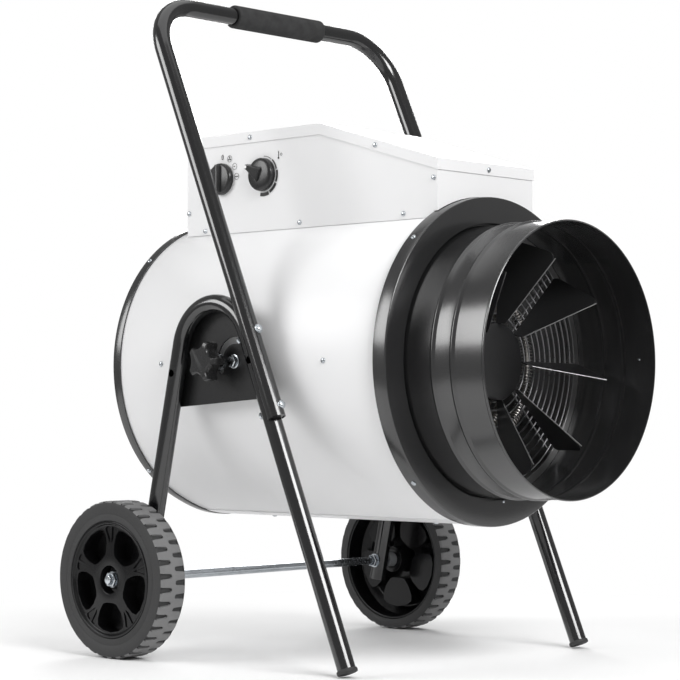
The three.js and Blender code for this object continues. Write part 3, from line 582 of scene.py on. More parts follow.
def foot_caps():
    """Cups square to the legs, cut off where they would reach into the floor."""
    profile = [(0, 6.8), (14.6, 6.8), (15.7, 7.4), (16, 8.4), (16, 11.4), (15.6, 12.6), (14.9, 13),
               (14.3, 12.6), (14.3, 9.4), (0, 9.4)]
    cup = moved(turned(lathe(profile, 40), "X", 90 - LEG_TILT), -FRAME_X, FRONT_FOOT_Y, 0)
    below_floor = block(-400, -100, -300, -50, -60, 0.05)
    for side, put in BOTH:
        cap = make(f"{side}_foot", put(cup), "trolley", "rubber", [f"{side}_foot_cap"])
        carve(cap, put(below_floor))


def lock_slot():
    """Outline of the curved slot round the pivot, with round ends."""
    steps = 24
    turns = [(LOCK_END - LOCK_START) * i / steps for i in range(steps + 1)]
    outer = [around(PIVOT, LOCK_ORBIT + LOCK_HALF, LOCK_START + turn) for turn in turns]
    inner = [around(PIVOT, LOCK_ORBIT - LOCK_HALF, LOCK_END - turn) for turn in turns]
    ends = []
    for middle, first in ((LOCK_END, LOCK_END), (LOCK_START, LOCK_START + 180)):
        centre = around(PIVOT, LOCK_ORBIT, middle)
        ends.append([around(centre, LOCK_HALF, first + a) for a in range(20, 180, 20)])
    return outer + ends[0] + inner + ends[1]


def pivot_plates():
    arch = []
    path = [Vector(p) for p in SIDE_PATH]
    last = len(path) - 1
    for i in range(1, last):
        before = i if i == last - 1 else i - 1
        after = i if i == 1 else i + 1
        tangent = (path[after] - path[before]).normalized()
        arch.append((path[i].y - PLATE_LAP * tangent.z, path[i].z + PLATE_LAP * tangent.y))
    outline = [(front_leg_y(PLATE_FRONT_LOW) - PLATE_LAP, PLATE_FRONT_LOW)] + arch
    outline.append((rear_leg_y(PLATE_REAR_LOW) + PLATE_LAP, PLATE_REAR_LOW))
    outline.reverse()
    plate = on_side(prism(outline, *PLATE_FACES, [lock_slot(), circle(*PIVOT, 6, 24)], edge=0.4))
    for side, put in BOTH:
        make(f"{side}_plate", put(plate), "trolley", "satin_black", [f"{side}_pivot_plate"], BLACK_PLATE)


def handle():
    bar = sweep(HANDLE_PATH, HANDLE_RADIUS, TUBE_BORE, 32)
    tube = make("handle", bar, "trolley", "black_paint", ["handle_tube"])
    saddle = sweep(SIDE_PATH, TUBE_RADIUS + 0.4, 0, 48)
    carve(tube, saddle, mirrored(saddle))
    low = Vector(handle_point(HANDLE_LOW))
    rise = (Vector(handle_point(HANDLE_LOW + 18)) - low).normalized()
    for side, put in BOTH:
        plug = make(f"{side}_handle_plug", put(sweep([low + rise, low + rise * 3], TUBE_BORE + 0.2, 0, 32)),
                    "trolley", "black_paint", material=BLACK_SATIN)
        carve(plug, put(saddle))
    profile = rounded(wall(GRIP_RADIUS, 14.4, -GRIP_HALF, GRIP_HALF), [2.5, 2.5, 0.3, 0.3], 4)
    grip = moved(along_x(lathe(profile, 64)), GRIP_X, *handle_point(HANDLE_TOP)[1:])
    sleeve = make("grip", grip, "trolley", "foam", ["foam_grip"])
    head = merged(moved(pan_head(6.6, 4.6), y=26.6), rod(7.4, 25.8, 27.0, 28, 0.3))
    nut = merged(hexagon(10, -21, -16.5, chamfer=0.6), rod(2.9, -22.5, -16, 14, 0.4))
    bolt = merged(head, nut, rod(2.9, -17, 27))
    for side, put in BOTH:
        for level, height in HANDLE_BOLTS.items():
            make(f"{side}_{level}_bolt", put(across_leg(bolt, height)), "trolley", "zinc",
                 [f"{side}_{level}_handle_bolt"])


def axle():
    """The rod with its nuts and washers, which are made on the left."""
    shaft = moved(along_x(rod(AXLE_RADIUS, -AXLE_END, AXLE_END, 32, 1.2)), 0, *AXLE)
    make("axle", shaft, "trolley", "zinc", ["axle_rod"])
    outer = merged(hexagon(22, 352.0, 357.3, 8.0, 1.0), lathe(wall(12.6, 7.4, 351.1, 351.9), 32))
    inner = merged(lathe(wall(12.0, 7.2, 264.0, 265.7), 32), hexagon(19, 256.4, 263.9, 7.8, 1.0))
    outer, inner = [moved(along_x(part), 0, *AXLE) for part in (outer, inner)]
    for side, put in (("right", mirrored), ("left", as_made)):
        make(f"{side}_wheel_nut", put(outer), "trolley", "zinc", [f"{side}_axle_nut"])
        make(f"{side}_inner_nut", put(inner), "trolley", "zinc")


# ---- wheels, made along +Y with the inner side at y = 0 and the outer face at WHEEL_WIDTH ----

LUGS = 36
COLUMNS = 16                    # columns of points in one lug
HALF_LUG = COLUMNS // 2
SLOT_COLUMNS = 3                # columns nearer than this to the middle of a slot lie on its floor
SLOT_DEPTH = 3.4
SLOT_MOUTH = 4.6                # width of a slot at the shoulder
SLOT_TAPER = 0.07
SLOT_STRAIGHT = 20              # how far in from the side a slot's round end starts
SLOT_ROUND = 3.2


def tread_row(y):
    """Places of one lug's columns in pitches, each with its depth: the slots taper in from both shoulders to
    round ends, half a pitch apart, and the columns follow their edges."""
    half = WHEEL_WIDTH / 2
    if abs(y - half) < SLOT_ROUND - 0.05:
        return [(k / COLUMNS, 0.0) for k in range(COLUMNS)]
    reach = max(2.4, WHEEL_WIDTH - y if y > half else y)
    width = SLOT_MOUTH - SLOT_TAPER * reach
    if reach > SLOT_STRAIGHT:
        width *= math.sqrt(max(0.0, 1 - ((reach - SLOT_STRAIGHT) / SLOT_ROUND) ** 2))
    pitch = 2 * math.pi / LUGS * WHEEL_RADIUS
    low, high = width / pitch, (width + 0.5) / pitch
    centre = HALF_LUG if y > half else 0
    row = []
    for k in range(COLUMNS):
        away = (k - centre + HALF_LUG) % COLUMNS - HALF_LUG
        size = abs(away)
        u = high + (size - SLOT_COLUMNS) / (HALF_LUG - SLOT_COLUMNS) * (0.5 - high)
        depth = 0.0
        if size < SLOT_COLUMNS:
            u = size / (SLOT_COLUMNS - 1) * low
            depth = SLOT_DEPTH if reach < SLOT_STRAIGHT + SLOT_ROUND else 0.0
        row.append((centre / COLUMNS + (k - centre >= HALF_LUG) + math.copysign(u, away), depth))
    return row


def tyre_part():
    inner_side = [(107.6, 1.0), (112, 0.4), (119, 0.2), (122.2, 1.0)]
    tread = [(123.9, 2.4), (124.7, 4.2)]
    flat = (7, 12, 17, 20, 21.4, 22.5, 23.3, 26.5, 29.7, 30.5, 31.6, 33, 36, 41, 46)
    tread += [(WHEEL_RADIUS, y) for y in flat]
    tread += [(124.7, 48.8), (123.9, 50.6)]
    outer_side = [(122.2, 52.0), (118.5, 52.6), (105.5, 52.9), (104.6, 52.3), (103.6, 52.3), (102.7, 52.9),
                  (96.5, 52.7), (95.6, 53.0), (94.4, 53.0), (93.6, 52.2), (93.4, 50), (107.6, 37)]
    loops = []
    for stations, slotted in ((inner_side, 0), (tread, 1), (outer_side, 0)):
        for radius, y in stations:
            loop = []
            for lug in range(LUGS):
                for u, depth in tread_row(y):
                    angle = 2 * math.pi * (lug + u) / LUGS
                    r = radius - depth * slotted
                    loop.append((r * math.cos(angle), y, r * math.sin(angle)))
            loops.append(loop)
    return lofted(loops, capped=False)


def rim_part():
    profile = [(12.5, 5), (23, 5), (23, 44), (88, 44.6), (102.4, 34), (103, 2), (107.2, 2), (107.2, 36.6),
               (93.2, 50.4), (92.6, 52.4), (88.8, 52.6), (86.2, 48.3), (66, 48.7), (38, 51.0), (22.4, 51.8),
               (21.4, 34), (12.5, 34)]
    radii = [0.5, 1, 2, 4, 1, 1, 1, 1, 1, 1.6, 1.6, 2, 12, 12, 1, 0.6, 0.5]
    return lathe(rounded(profile, radii, 3), 120)


def pocket(angle, margin=0.0):
    """Outline of a blind pocket between two spokes, as (x, z) pairs, grown by a margin."""
    half = [(37.5, 13), (42, 22.5), (57, 27), (71, 26), (80, 22.5), (82.8, 14)]
    outline = [(r, -side) for r, side in half] + [(83.8, 0)] + [(r, side) for r, side in reversed(half)]
    corners = []
    for radius, side in outline:
        grown = radius + (margin if radius > 60 else -margin)
        a = math.radians(angle + side) + ((side > 0) - (side < 0)) * margin / grown
        corners.append((grown * math.cos(a), grown * math.sin(a)))
    return rounded(corners, 2.0, 3)


def groove(angle, hand):
    """One of the two wedge recesses that fork the outer end of a spoke."""
    outline = [(56, 1.6), (81, 9.5), (84.6, 6.5), (84.6, 1.6)]
    return rounded([around((0, 0), r, angle + side * hand) for r, side in outline], 0.8, 2)


def wheels():
    pocket_angles = [126 + 72 * i for i in range(5)]
    spoke_angles = [90 + 72 * i for i in range(5)]
    skin, pocket_floor, groove_floor, outside = 2.2, 22.4, 46.6, 60
    cups = [flat_y(prism(pocket(a, 2.0), pocket_floor - skin, 46.5)) for a in pocket_angles]
    hollows = [flat_y(prism(pocket(a), pocket_floor, outside)) for a in pocket_angles]
    for a in spoke_angles:
        hollows += [flat_y(prism(groove(a, hand), groove_floor, outside)) for hand in (1, -1)]
    bush = lathe(rounded(wall(12.2, 7.6, -12, 44.7), 0.5, 2), 40)
    tread_edge = 122.9
    for side, sign in (("right", 1), ("left", -1)):
        def put(part):
            return moved(turned(part, "Z", 90 * sign), -sign * WHEEL_INNER, *AXLE)
        body = f"{side}_wheel"
        tyre = make(f"{side}_wheel_tyre", put(tyre_part()), body, "rubber", [f"{side}_tyre"], [RUBBER, TREAD],
                    angle=38)
        for polygon in tyre.data.polygons:
            centre = polygon.center
            radius = math.hypot(centre.y - AXLE[0] * MM, centre.z - AXLE[1] * MM) / MM
            if radius > tread_edge:
                polygon.material_index = 1
        rim = make(f"{side}_wheel_rim", put(rim_part()), body, "rim_plastic", [f"{side}_rim"])
        carve(rim, *[put(cup) for cup in cups], operation="UNION")
        carve(rim, *[put(hollow) for hollow in hollows])
        soften(rim, 0.7)
        make(f"{side}_bush", put(bush), body, "grey_plastic", [f"{side}_hub_bush"])


# ---- drum, made round the Y axis and lifted to DRUM_Z ----

def bulged(part):
    """The rolled sheet keeps a flatter curve where its ends lap, so the drum bulges along its bottom seam."""
    points, faces = part
    result = []
    for x, y, z in points:
        share = min(abs(math.atan2(x, -z)) / SEAM_HALF, 1.0)
        stretch = 1 + SEAM_RISE / DRUM_RADIUS * math.cos(share * math.pi / 2) ** 2
        result.append((x * stretch, y, z * stretch))
    return result, faces


def arc(radius, width, start, end, steps=12):
    """Outline of a curved strip between two radii."""
    angles = [start + (end - start) * i / steps for i in range(steps + 1)]
    outer = [around((0, 0), radius + width, a) for a in angles]
    inner = [around((0, 0), radius, a) for a in reversed(angles)]
    return outer + inner


def drum_piece(name, part, slot, replaces=(), material=None):
    return make(name, moved(part, z=DRUM_Z), "heater", slot, replaces, material)


def collar_profile():
    """Two rolled beads and a rolled rim; the foot lies behind the front flange."""
    steps, step = 6, 0.95       # from the top of a bead to its foot
    outer = []
    for y in COLLAR_BEADS:
        for k in range(-steps, steps + 1):
            height = BEAD_HEIGHT * 0.5 * (1 + math.cos(math.pi * k / steps))
            outer.append((COLLAR_RADIUS + height, y - k * step))
    inner = [(COLLAR_BORE + (r - COLLAR_RADIUS) * 0.3, y) for r, y in reversed(outer)]
    rim_edge = [(211.3, -380.5), (212.2, -381.6), (212.6, -383.6), (212.2, -385.2), (211.2, -385.9),
                (210.2, -385.4), (COLLAR_BORE, -384.0)]
    inner_foot = [(COLLAR_BORE, -225.2), (COLLAR_BORE, -224.6)]
    foot = [(212.0, -223.9), (240, -223.9), (240, -225.3), (212.5, -225.3), (COLLAR_RADIUS, -226.4)]
    return foot + outer + rim_edge + inner + inner_foot


def drum():
    shell = rounded(wall(DRUM_RADIUS, DRUM_RADIUS - 1.5, DRUM_FRONT, DRUM_REAR), 0.5, 2)
    drum_piece("drum", bulged(lathe(shell, 160)), "white_paint", ["drum_shell"])
    lap = flat_y(prism(arc(DRUM_RADIUS - 0.1, 1.3, 258, 282), -208.7, 365.8, edge=0.3))
    drum_piece("drum_lap", bulged(lap), "white_paint")
    trim = rounded([(250, 366), (250, 382.2), (249, 383.2), (244.6, 383.2), (244.6, 367), (245.7, 367),
                    (245.7, 379.8), (247.9, 379.8), (247.9, 366)],
                   [0.4, 0.7, 0.7, 0.6, 0.3, 0.2, 0.2, 0.2, 0.2], 2)
    drum_piece("rear_trim", bulged(lathe(trim, 160)), "satin_black", ["rear_edge_trim"])
    flange = rounded([(FLANGE_RADIUS, -234.4), (FLANGE_RADIUS, -209), (250, -209), (250, -210.4),
                      (254.9, -210.4), (254.9, -232.9), (216.1, -232.9), (216.1, -227.6), (214.6, -227.6),
                      (214.6, -234.4)],
                     [2.0, 0.8, 0.3, 0.3, 0.8, 0.8, 0.8, 0.4, 0.4, 1.4], 4)
    drum_piece("flange", lathe(flange, 160), "satin_black", ["front_flange"])
    drum_piece("collar", lathe(collar_profile(), 160), "satin_black", ["outlet_collar"])
    liner = rounded([(209.7, -236), (209.7, -235), (LINER_RADIUS, -235), (LINER_RADIUS, 60),
                     (LINER_RADIUS - 1, 60), (LINER_RADIUS - 1, -236)], 0.3, 1)
    drum_piece("liner", lathe(liner, 128), "steel", ["heat_shield"])


def torus(radius, wire, y, sides=96):
    return lathe(circle(radius, y, wire, 8), sides)


def spokes(wire, start, end, y):
    spoke = moved(along_x(rod(wire, start, end, 10)), 0, y, 0)
    return [turned(spoke, "Y", 45 + 90 * i) for i in range(4)]


def guards():
    rings = [torus(62.5 + 13.05 * i, 1.2, -230.4, 128) for i in range(11)]
    drum_piece("outlet_wires", merged(*rings, *spokes(1.5, 61, 195.4, -228)), "steel", ["outlet_guard"],
               STEEL)
    rings = [torus(60 + 20 * i, 1.8, 364) for i in range(10)] + [torus(30, 1.8, 364, 48)]
    drum_piece("inlet_wires", merged(*rings, *spokes(1.8, 28, 244.2, 366.4)), "black_paint",
               ["inlet_guard"], BLACK_SATIN)


def flat_sheet(corners, thickness, radii, steps=6):
    """Flat plate through 3D corners, with rounded corners, thickened both ways."""
    centre = sum(corners, Vector()) / len(corners)
    normal = Vector()
    for a, b in zip(corners, corners[1:] + corners[:1]):
        normal += (a - centre).cross(b - centre)
    normal.normalize()
    u = (corners[1] - corners[0]).normalized()
    u = (u - normal * u.dot(normal)).normalized()
    v = normal.cross(u)
    flat = [((c - centre).dot(u), (c - centre).dot(v)) for c in corners]
    points, faces = prism(rounded(flat, radii, steps), -thickness / 2, thickness / 2, edge=0.3)
    return [tuple(centre + u * a + v * b + normal * c) for a, b, c in points], faces


VANE_COUNT = 8
VANE_PHASE = -10
VANE_CORNERS = ((59.5, -236, 12), (191, -243, 9.6), (193.5, -250, 9), (167, -335.4, 0), (59.5, -250, 5))


def deflector():
    """Hub cup and vanes, whose corners are (radius, y, degrees), with bright lips on their front edges, whose
    light metal colour is a painted highlight.
    """
    hub = lathe([(0, -238), (59.5, -238), (60.2, -237.6), (60.5, -236.8), (60.5, -224.3), (59.9, -224),
                 (59, -224.3), (59, -236.5), (0, -236.5)], 96)
    vanes, lips = [], []
    for i in range(VANE_COUNT):
        corners = []
        for radius, y, degrees in VANE_CORNERS:
            x, z = around((0, 0), radius, VANE_PHASE + 360 / VANE_COUNT * i + degrees)
            corners.append(Vector((x, y, z)))
        vanes.append(flat_sheet(corners, 1.4, [0.5, 2, 6, 12, 0.5]))
        edge = [corners[3] + (corners[4] - corners[3]) * t for t in (0.06, 0.94)]
        lips.append(sweep(edge, 0.95, 0, 8))
    drum_piece("deflector", merged(hub, *vanes), "satin_black", ["flow_deflector"], BLACK_VANE)
    # The lips' light metal colour is the painted highlight along the vanes' front edges.
    drum_piece("deflector_lips", merged(*lips), "satin_black", material=EDGE_HIGHLIGHT)


def element_path(radius, leg, y):
    """Nearly closed ring whose ends turn up into two straight legs that run to the terminals."""
    bend = 12.0
    gap = math.asin((leg + bend) / radius)
    turn = 2 * math.pi - 2 * gap
    base = math.sqrt(radius ** 2 - (leg + bend) ** 2) + bend
    end = [(leg, y, TERMINAL_Z - DRUM_Z), (leg, y, base)]
    for i in range(1, 5):
        a = math.pi / 2 * i / 5
        end.append((leg + bend * (1 - math.cos(a)), y, base - bend * math.sin(a)))
    count = 96
    angles = [math.pi / 2 + gap + turn * i / count for i in range(count + 1)]
    ring = [(radius * math.cos(a), y, radius * math.sin(a)) for a in angles]
    return [(-x, y, z) for x, y, z in end] + ring + end[::-1], gap, turn


def elements():
    """Finned tubes; the fins keep clear of the three arms that carry the rings."""
    tube_radius, fin_radius, fin_pitch, arm_gap = 4.6, 9.2, 5.2, 200
    flat_fin = turned(rod(fin_radius, -0.6, 0.6, 14), "X", 90)
    sets = (("outer", 133, 14, (-190, -150)), ("inner", 80, 34, (-172, -132)))
    for kind, radius, leg, planes in sets:
        for number, y in enumerate(planes, 1):
            path, gap, turn = element_path(radius, leg, y)
            parts = [sweep(path, tube_radius, 0, 12)]
            count = int(radius * turn / fin_pitch)
            for i in range(3, count - 2):
                a = math.degrees(math.pi / 2 + gap + turn * i / count)
                if all(abs((a - arm + 180) % 360 - 180) >= arm_gap / radius for arm in (-30, 210, 270)):
                    parts.append(turned(moved(flat_fin, x=radius, y=y), "Y", -a))
            drum_piece(f"{kind}_heater_{number}", merged(*parts), "heater_tube",
                       [f"{kind}_element_{number}"])


# ---- tilt hardware ----

def star_outline():
    """Five lobes joined by hollow arcs, the ones that face the outlet deeper than the rest."""
    tip = 32.5
    half = math.radians(28)
    outline = []
    for lobe, valley in enumerate((24.5, 22.5, 19.5, 19.5, 22.5)):
        distance = (tip ** 2 - valley ** 2) / (2 * (tip * math.cos(half) - valley))
        hollow = distance - valley
        middle = math.radians(72 * lobe)
        for step in range(-8, 9):
            delta = half * step / 8
            inside = max(0.0, hollow ** 2 - (distance * math.sin(delta)) ** 2)
            radius = distance * math.cos(delta) - math.copysign(math.sqrt(inside), hollow)
            outline.append((radius * math.cos(middle + delta), radius * math.sin(middle + delta)))
    return rounded(outline, 1.4, 3)


def tilt_hardware():
    """Star knob, lock washer, pivot bolt and spacer; places along the bolts are distances from the middle."""
    levels = [(283, 0.93), (284, 0.97), (286, 0.99), (301, 0.98), (304.5, 0.955), (306.8, 0.90), (308, 0.80)]
    outline = star_outline()
    star = lofted([[(-x, a * k, b * k) for a, b in outline] for x, k in levels])
    boss = lathe(rounded([(0, 268.7), (11, 268.7), (13, 284), (0, 284)], [0, 1, 0, 0], 3), 32)
    washer = lathe(wall(13, 4.6, 266.0, 268.2), 32)
    flange = rounded([(0, 265.9), (11, 265.9), (11, 267.1), (9, 267.7), (0, 267.7)], [0, 0.3, 0.3, 0.3, 0], 2)
    head = merged(lathe(flange, 32), hexagon(16.6, 267.5, 274.6, 0, 1.2))
    bolt = merged(head, rod(PIVOT_BOLT, 232, 267, 16))
    spacer = lathe(rounded(wall(10, 5.4, 247.9, 262.3), 0.5, 2), 32)
    boss, washer, bolt, spacer = [mirrored(along_x(part)) for part in (boss, washer, bolt, spacer)]
    for side, put in BOTH:
        make(f"{side}_star", put(moved(merged(star, boss), 0, *LOCK)), f"{side}_lock", "knob_plastic",
             [f"{side}_lock_knob"], angle=28)
        make(f"{side}_lock_washer", put(moved(washer, 0, *LOCK)), "heater", "zinc")
        make(f"{side}_bolt", put(moved(bolt, 0, *PIVOT)), "heater", "zinc", [f"{side}_pivot_bolt"])
        make(f"{side}_spacer", put(moved(spacer, 0, *PIVOT)), "heater", "zinc", [f"{side}_pivot_spacer"])


# ---- control box ----

def lid_z(y):
    return min(LID_TOP, LID_TOP - (LID_BEND - y) * LID_SLOPE)


def box_outline(front, rear, drop, bottom):
    """Side view of the box or of the lid's inside, a little below the top of the lid."""
    return [(front, bottom), (rear, bottom), (rear, LID_TOP - drop), (LID_BEND, LID_TOP - drop),
            (front, lid_z(front) - drop)]


def control_box():
    gauge = 1.5
    outside = on_side(prism(box_outline(BOX_FRONT, BOX_REAR, 1.5, 640), -BOX_SIDE, BOX_SIDE))
    walls = make("box_walls", outside, "heater", "white_paint", ["box_shell"])
    half = BOX_SIDE - gauge
    inside = block(-half, half, BOX_FRONT + gauge, BOX_REAR - gauge, 600, 900)
    saddle = moved(rod(DRUM_RADIUS + 0.5, -400, 500, 160), z=DRUM_Z)
    flange_saddle = moved(rod(FLANGE_RADIUS + 0.5, -400, -208.5, 160), z=DRUM_Z)
    gland_hole = moved(rod(12.6, 336, 356, 32), 60, 0, 752)
    for tool in (inside, saddle, flange_saddle, gland_hole):
        carve(walls, tool)
    soften(walls, 0.8)
    top_line = [(LID_REAR, LID_TOP), (LID_BEND, LID_TOP), (LID_FRONT, LID_FRONT_TOP)]
    lip_line = [(y, z - LID_LIP) for y, z in reversed(top_line)]
    lid = make("lid", on_side(prism(lip_line + top_line, -LID_SIDE, LID_SIDE)), "heater", "white_paint",
               ["box_lid"])
    room = 0.3
    hollow = box_outline(BOX_FRONT - room, BOX_REAR + 0.2, 1.2, 600)
    carve(lid, on_side(prism(hollow, -BOX_SIDE - room, BOX_SIDE + room)))
    soften(lid, 0.9, 3, 12)


def sheet_screws():
    right_head = turned(pan_head(), "Z", 90)
    front_head = turned(pan_head(), "X", 180)
    heads = []
    for y, z in ((302, 696), (79, 698), (-146, 698), (-208, 750), (342, 728)):
        heads.append(moved(right_head, -BOX_SIDE - 0.2, y, z))
    for y in (193, -88):
        heads.append(moved(right_head, -LID_SIDE - 0.2, y, lid_z(y) - 9.2))
    heads += [mirrored(head) for head in heads]
    heads.append(moved(front_head, 4, LID_FRONT - 0.2, lid_z(LID_FRONT) - 10))
    heads.append(moved(pan_head(), 0, LID_REAR + 0.2, 845))
    make("box_screws", merged(*heads), "heater", "zinc")

    outward_head = turned(pan_head(), "Z", -90)
    places = [(FLANGE_RADIUS, -221.5, a) for a in (45, 134, 226, 315)]
    places += [(250, 374.5, a) for a in (45, 135, 225, 315)]
    places += [(DRUM_RADIUS, y, a) for y in (266, -100) for a in (0, 180)]
    places += [(253.5, y, 270) for y in (252, -112)]
    heads = []
    for radius, y, degrees in places:
        heads.append(moved(turned(moved(outward_head, radius, y), "Y", -degrees), z=DRUM_Z))
    heads.append(moved(turned(pan_head(2.2, 1.2), "Z", 90), 209.9, -355.3, 474.3))
    heads.append(moved(turned(pan_head(2.6, 1.8), "X", 180), 17.6, -234.5, 252.1))
    make("drum_screws", merged(*heads), "heater", "zinc")


# ---- controls: made in a frame with Y outwards from the right wall of the box, Z up, X to the rear ----

def on_wall(part, place):
    return moved(turned(part, "Z", 90), -BOX_SIDE - 0.3, *place)


def selector_grip():
    base = lathe([(0, 0.2), (26.2, 0.2), (26.6, 1.0), (26.6, 5.5), (25.8, 7.8), (24.2, 9.2), (21.5, 9.9),
                  (0, 10.1)], 72)
    section = rounded([(-4.5, 9), (4.5, 9), (3.2, 16.5), (-3.2, 16.5)], [0, 0, 1.2, 1.2], 3)
    bar = prism(section, -23.6, 23.6, edge=1.2)
    nub = block(24.5, 29.0, 0.3, 6.0, -2.5, 2.5, 0.5)
    return merged(base, bar, turned(nub, "Y", -35))


def wedge_outline(half, radii):
    """Outline in (x, z) with its corners given from the tail to the tip on one side only."""
    return rounded([(x, -z) for x, z in half] + half[::-1], radii + radii[::-1], 4)


def thermostat_grip():
    """Domed knob with a raised wedge that falls from a step across the middle to the pointer's tip."""
    dome = lathe([(0, 0.2), (27.2, 0.2), (27.4, 1.0), (27.2, 7.6), (26.2, 9.8), (23.5, 11.4), (19.5, 12.3),
                  (12, 12.8), (0, 13)], 72)
    low = wedge_outline([(-3, 15), (29, 6.5), (38, 3.6)], [0.8, 3, 3])
    top = wedge_outline([(-1, 8), (27, 3.8), (36.4, 3.0)], [0.8, 2, 2.5])
    loops = [[(x, 0.2, z) for x, z in low],
             [(x, 11.5 - max(0.0, x) * 0.10, z) for x, z in low],
             [(x, 18.8 - max(0.0, x) * 0.17, z) for x, z in top]]
    return merged(dome, lofted(loops))


def printed(outline, holes=()):
    """Thin print on the wall; the outline is given as seen from outside, with x towards the outlet."""
    loops = [[(-a, b) for a, b in loop] for loop in (outline, *holes)]
    return flat_y(prism(loops[0], 0.32, 0.42, loops[1:]))


def printed_bar(x0, x1, z0, z1):
    return printed([(x0, z0), (x1, z0), (x1, z1), (x0, z1)])


def selector_marks():
    """A zero, a ring with three blades and two rings with a bar."""
    unit = circle(0, 0, 1, 24)
    oval, inside = [[(0.5 + w * a, 36.8 + (w + 2) * b) for a, b in unit] for w in (2.4, 1.4)]
    marks = [printed(oval, [inside])]
    rings = ((17.5, 33.0), (29.6, 19.4), (34.4, 2.4))
    marks += [printed(circle(*centre, 5.6), [circle(*centre, 5.0)]) for centre in rings]
    for i in range(3):
        corners = ((0.6, -40), (3.7, -22), (3.7, 22), (0.6, 40))
        marks.append(printed([around(rings[0], r, 90 + 120 * i + side) for r, side in corners]))
    return marks + [printed_bar(27.2, 30.8, 18.8, 20.0), printed_bar(30.6, 38.2, 1.6, 3.2)]


def thermostat_scale():
    """Strips that grow thicker clockwise, and a small thermometer and degree ring."""
    strips = []
    for i, width in enumerate((1.0, 2.2, 3.6, 4.8, 5.8)):
        start = 88 - 39 * i
        strips.append(printed(arc(30.0, width, start, start - 34.5)))
    thermometer = [printed_bar(34.5, 35.7, 26.0, 36.0), printed(circle(35.1, 25.0, 1.9))]
    return strips + thermometer + [printed(circle(41.5, 30.5, 2.2), [circle(41.5, 30.5, 1.5)])]


def controls():
    make("selector_grip", on_wall(selector_grip(), SELECTOR), "selector", "knob_plastic",
         ["selector_knob"], angle=30)
    grip = turned(thermostat_grip(), "Y", POINTER_ANGLE)
    make("thermostat_grip", on_wall(grip, THERMOSTAT), "thermostat", "knob_plastic",
         ["thermostat_knob"], angle=30)
    dot = turned(moved(rod(2.7, 12.0, 13.9, 24), x=32.6), "Y", POINTER_ANGLE)
    make("thermostat_dot", on_wall(dot, THERMOSTAT), "thermostat", "white_paint", material=DOT)
    prints = [on_wall(mark, SELECTOR) for mark in selector_marks()]
    prints += [on_wall(strip, THERMOSTAT) for strip in thermostat_scale()]
    make("control_print", merged(*prints), "heater", "satin_black", material=PRINT)


for build in (side_frames, foot_caps, pivot_plates, handle, axle, wheels, drum, guards, deflector, elements,
              tilt_hardware, control_box, sheet_screws, controls):
    build()


# ---- CAD solids that stay in view ----

node_slots = {entry["node"]: entry["material_slot"] for entry in frame["record"]["subparts"]}
for name, node in frame["nodes"].items():
    node.data.materials.clear()
    node.data.materials.append(SLOT_MATERIALS[node_slots[name]])
    shade(node.data)


# ---- floor, light and camera, in metres ----

def mixed(tree, factor, first, second, output):
    """Ends a node tree with a mix of two shaders."""
    mix = add(tree, "MixShader", Fac=factor)
    tree.links.new(first, mix.inputs[1])
    tree.links.new(second, mix.inputs[2])
    add(tree, output, Surface=mix.outputs["Shader"])


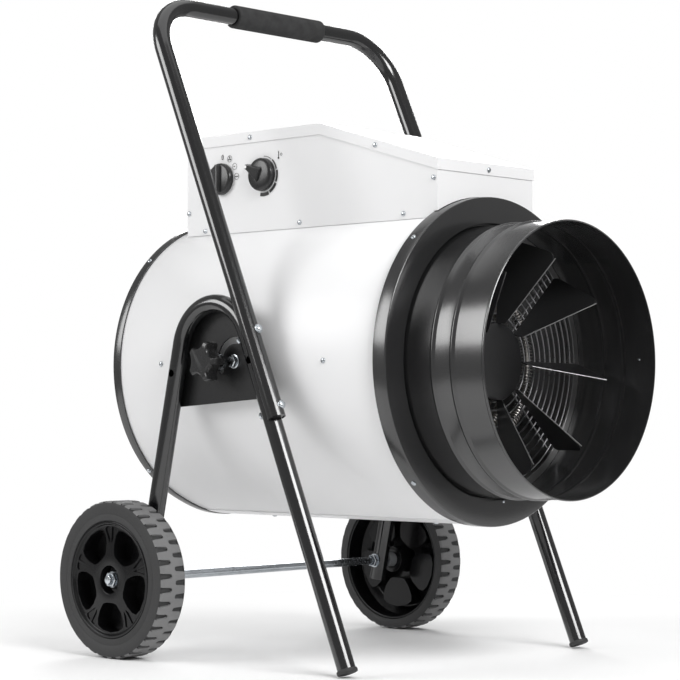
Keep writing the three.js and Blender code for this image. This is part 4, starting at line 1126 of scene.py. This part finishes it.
def floor():
    """Matt white floor that keeps the shadows and fades into the white background away from the object."""
    size, under = 1.6, -0.0002
    fade_from, fade_to = 0.6, 1.2
    mesh = bpy.data.meshes.new("floor")
    corners = [(-size, -size, under), (size, -size, under), (size, size, under), (-size, size, under)]
    mesh.from_pydata(corners, [], [(0, 1, 2, 3)])
    material = bpy.data.materials.new("floor_white")
    tree = emptied_tree(material)
    drift = ramp(tree, noise(tree, 3.0, 3.0), (0.87, 0.87, 0.87), (0.89, 0.89, 0.89))
    shader = add(tree, "BsdfPrincipled", Base_Color=drift, Roughness=0.9, Specular_IOR_Level=0.1)
    distance = add(tree, "VectorMath", Vector=object_place(tree))
    distance.operation = "LENGTH"
    fade = add(tree, "MapRange", Value=distance.outputs["Value"], From_Min=fade_from, From_Max=fade_to)
    fade.interpolation_type = "SMOOTHSTEP"
    share = add(tree, "Math", Value=fade.outputs["Result"])
    share.operation = "MULTIPLY"
    tree.links.new(add(tree, "LightPath").outputs["Is Camera Ray"], share.inputs[1])
    white = add(tree, "Emission").outputs["Emission"]
    mixed(tree, share.outputs["Value"], shader.outputs["BSDF"], white, "OutputMaterial")
    mesh.materials.append(material)
    plane = bpy.data.objects.new("floor", mesh)
    bpy.context.scene.collection.objects.link(plane)


def world():
    """White behind the object, a dim even light for everything else."""
    scene_world = bpy.data.worlds.new("studio")
    bpy.context.scene.world = scene_world
    tree = emptied_tree(scene_world)
    strengths = (0.32, 1.0)     # for everything else and for the camera
    dim, white = [add(tree, "Background", Color=(1, 1, 1, 1), Strength=strength).outputs["Background"]
                  for strength in strengths]
    mixed(tree, add(tree, "LightPath").outputs["Is Camera Ray"], dim, white, "OutputWorld")


def softbox(name, location, target, width, height, radiance):
    data = bpy.data.lights.new(name, "AREA")
    data.shape = "RECTANGLE"
    data.size = width
    data.size_y = height
    data.energy = radiance * math.pi * width * height
    lamp = bpy.data.objects.new(name, data)
    lamp.location = location
    lamp.rotation_euler = (Vector(target) - Vector(location)).to_track_quat("-Z", "Y").to_euler()
    bpy.context.scene.collection.objects.link(lamp)


def camera():
    """The camera that took the photograph, as solved from its lines and circles."""
    data = bpy.data.cameras.new("camera")
    data.lens = 115.94
    data.sensor_width = 36
    data.clip_end = 100
    place = Vector((-2.63899, -2.39901, 0.39193))
    back = Vector((-0.7258, -0.6871, -0.03265))
    up = Vector((-0.02371, -0.02245, 0.9995))
    right = up.cross(back).normalized()
    up = back.cross(right).normalized()
    cam = bpy.data.objects.new("camera", data)
    rotation = Matrix((right, up, back.normalized())).transposed().to_4x4()
    cam.matrix_world = Matrix.Translation(place) @ rotation
    bpy.context.scene.collection.objects.link(cam)
    bpy.context.scene.camera = cam


floor()
world()
softbox("top", (0.1, 0.0, 3.2), (0, 0, 0.4), 3.0, 3.0, 0.9)
softbox("left", (-2.42, 1.64, 1.68), (-0.25, -0.05, 0.5), 1.6, 1.4, 5.9)
softbox("front", (-0.73, -2.88, 2.25), (-0.29, -0.1, 0.35), 2.1, 1.15, 12.3)
softbox("back", (2.3, 2.4, 1.6), (0, 0, 0.5), 1.6, 1.2, 10.0)
camera()
bpy.context.scene.view_settings.view_transform = "Standard"
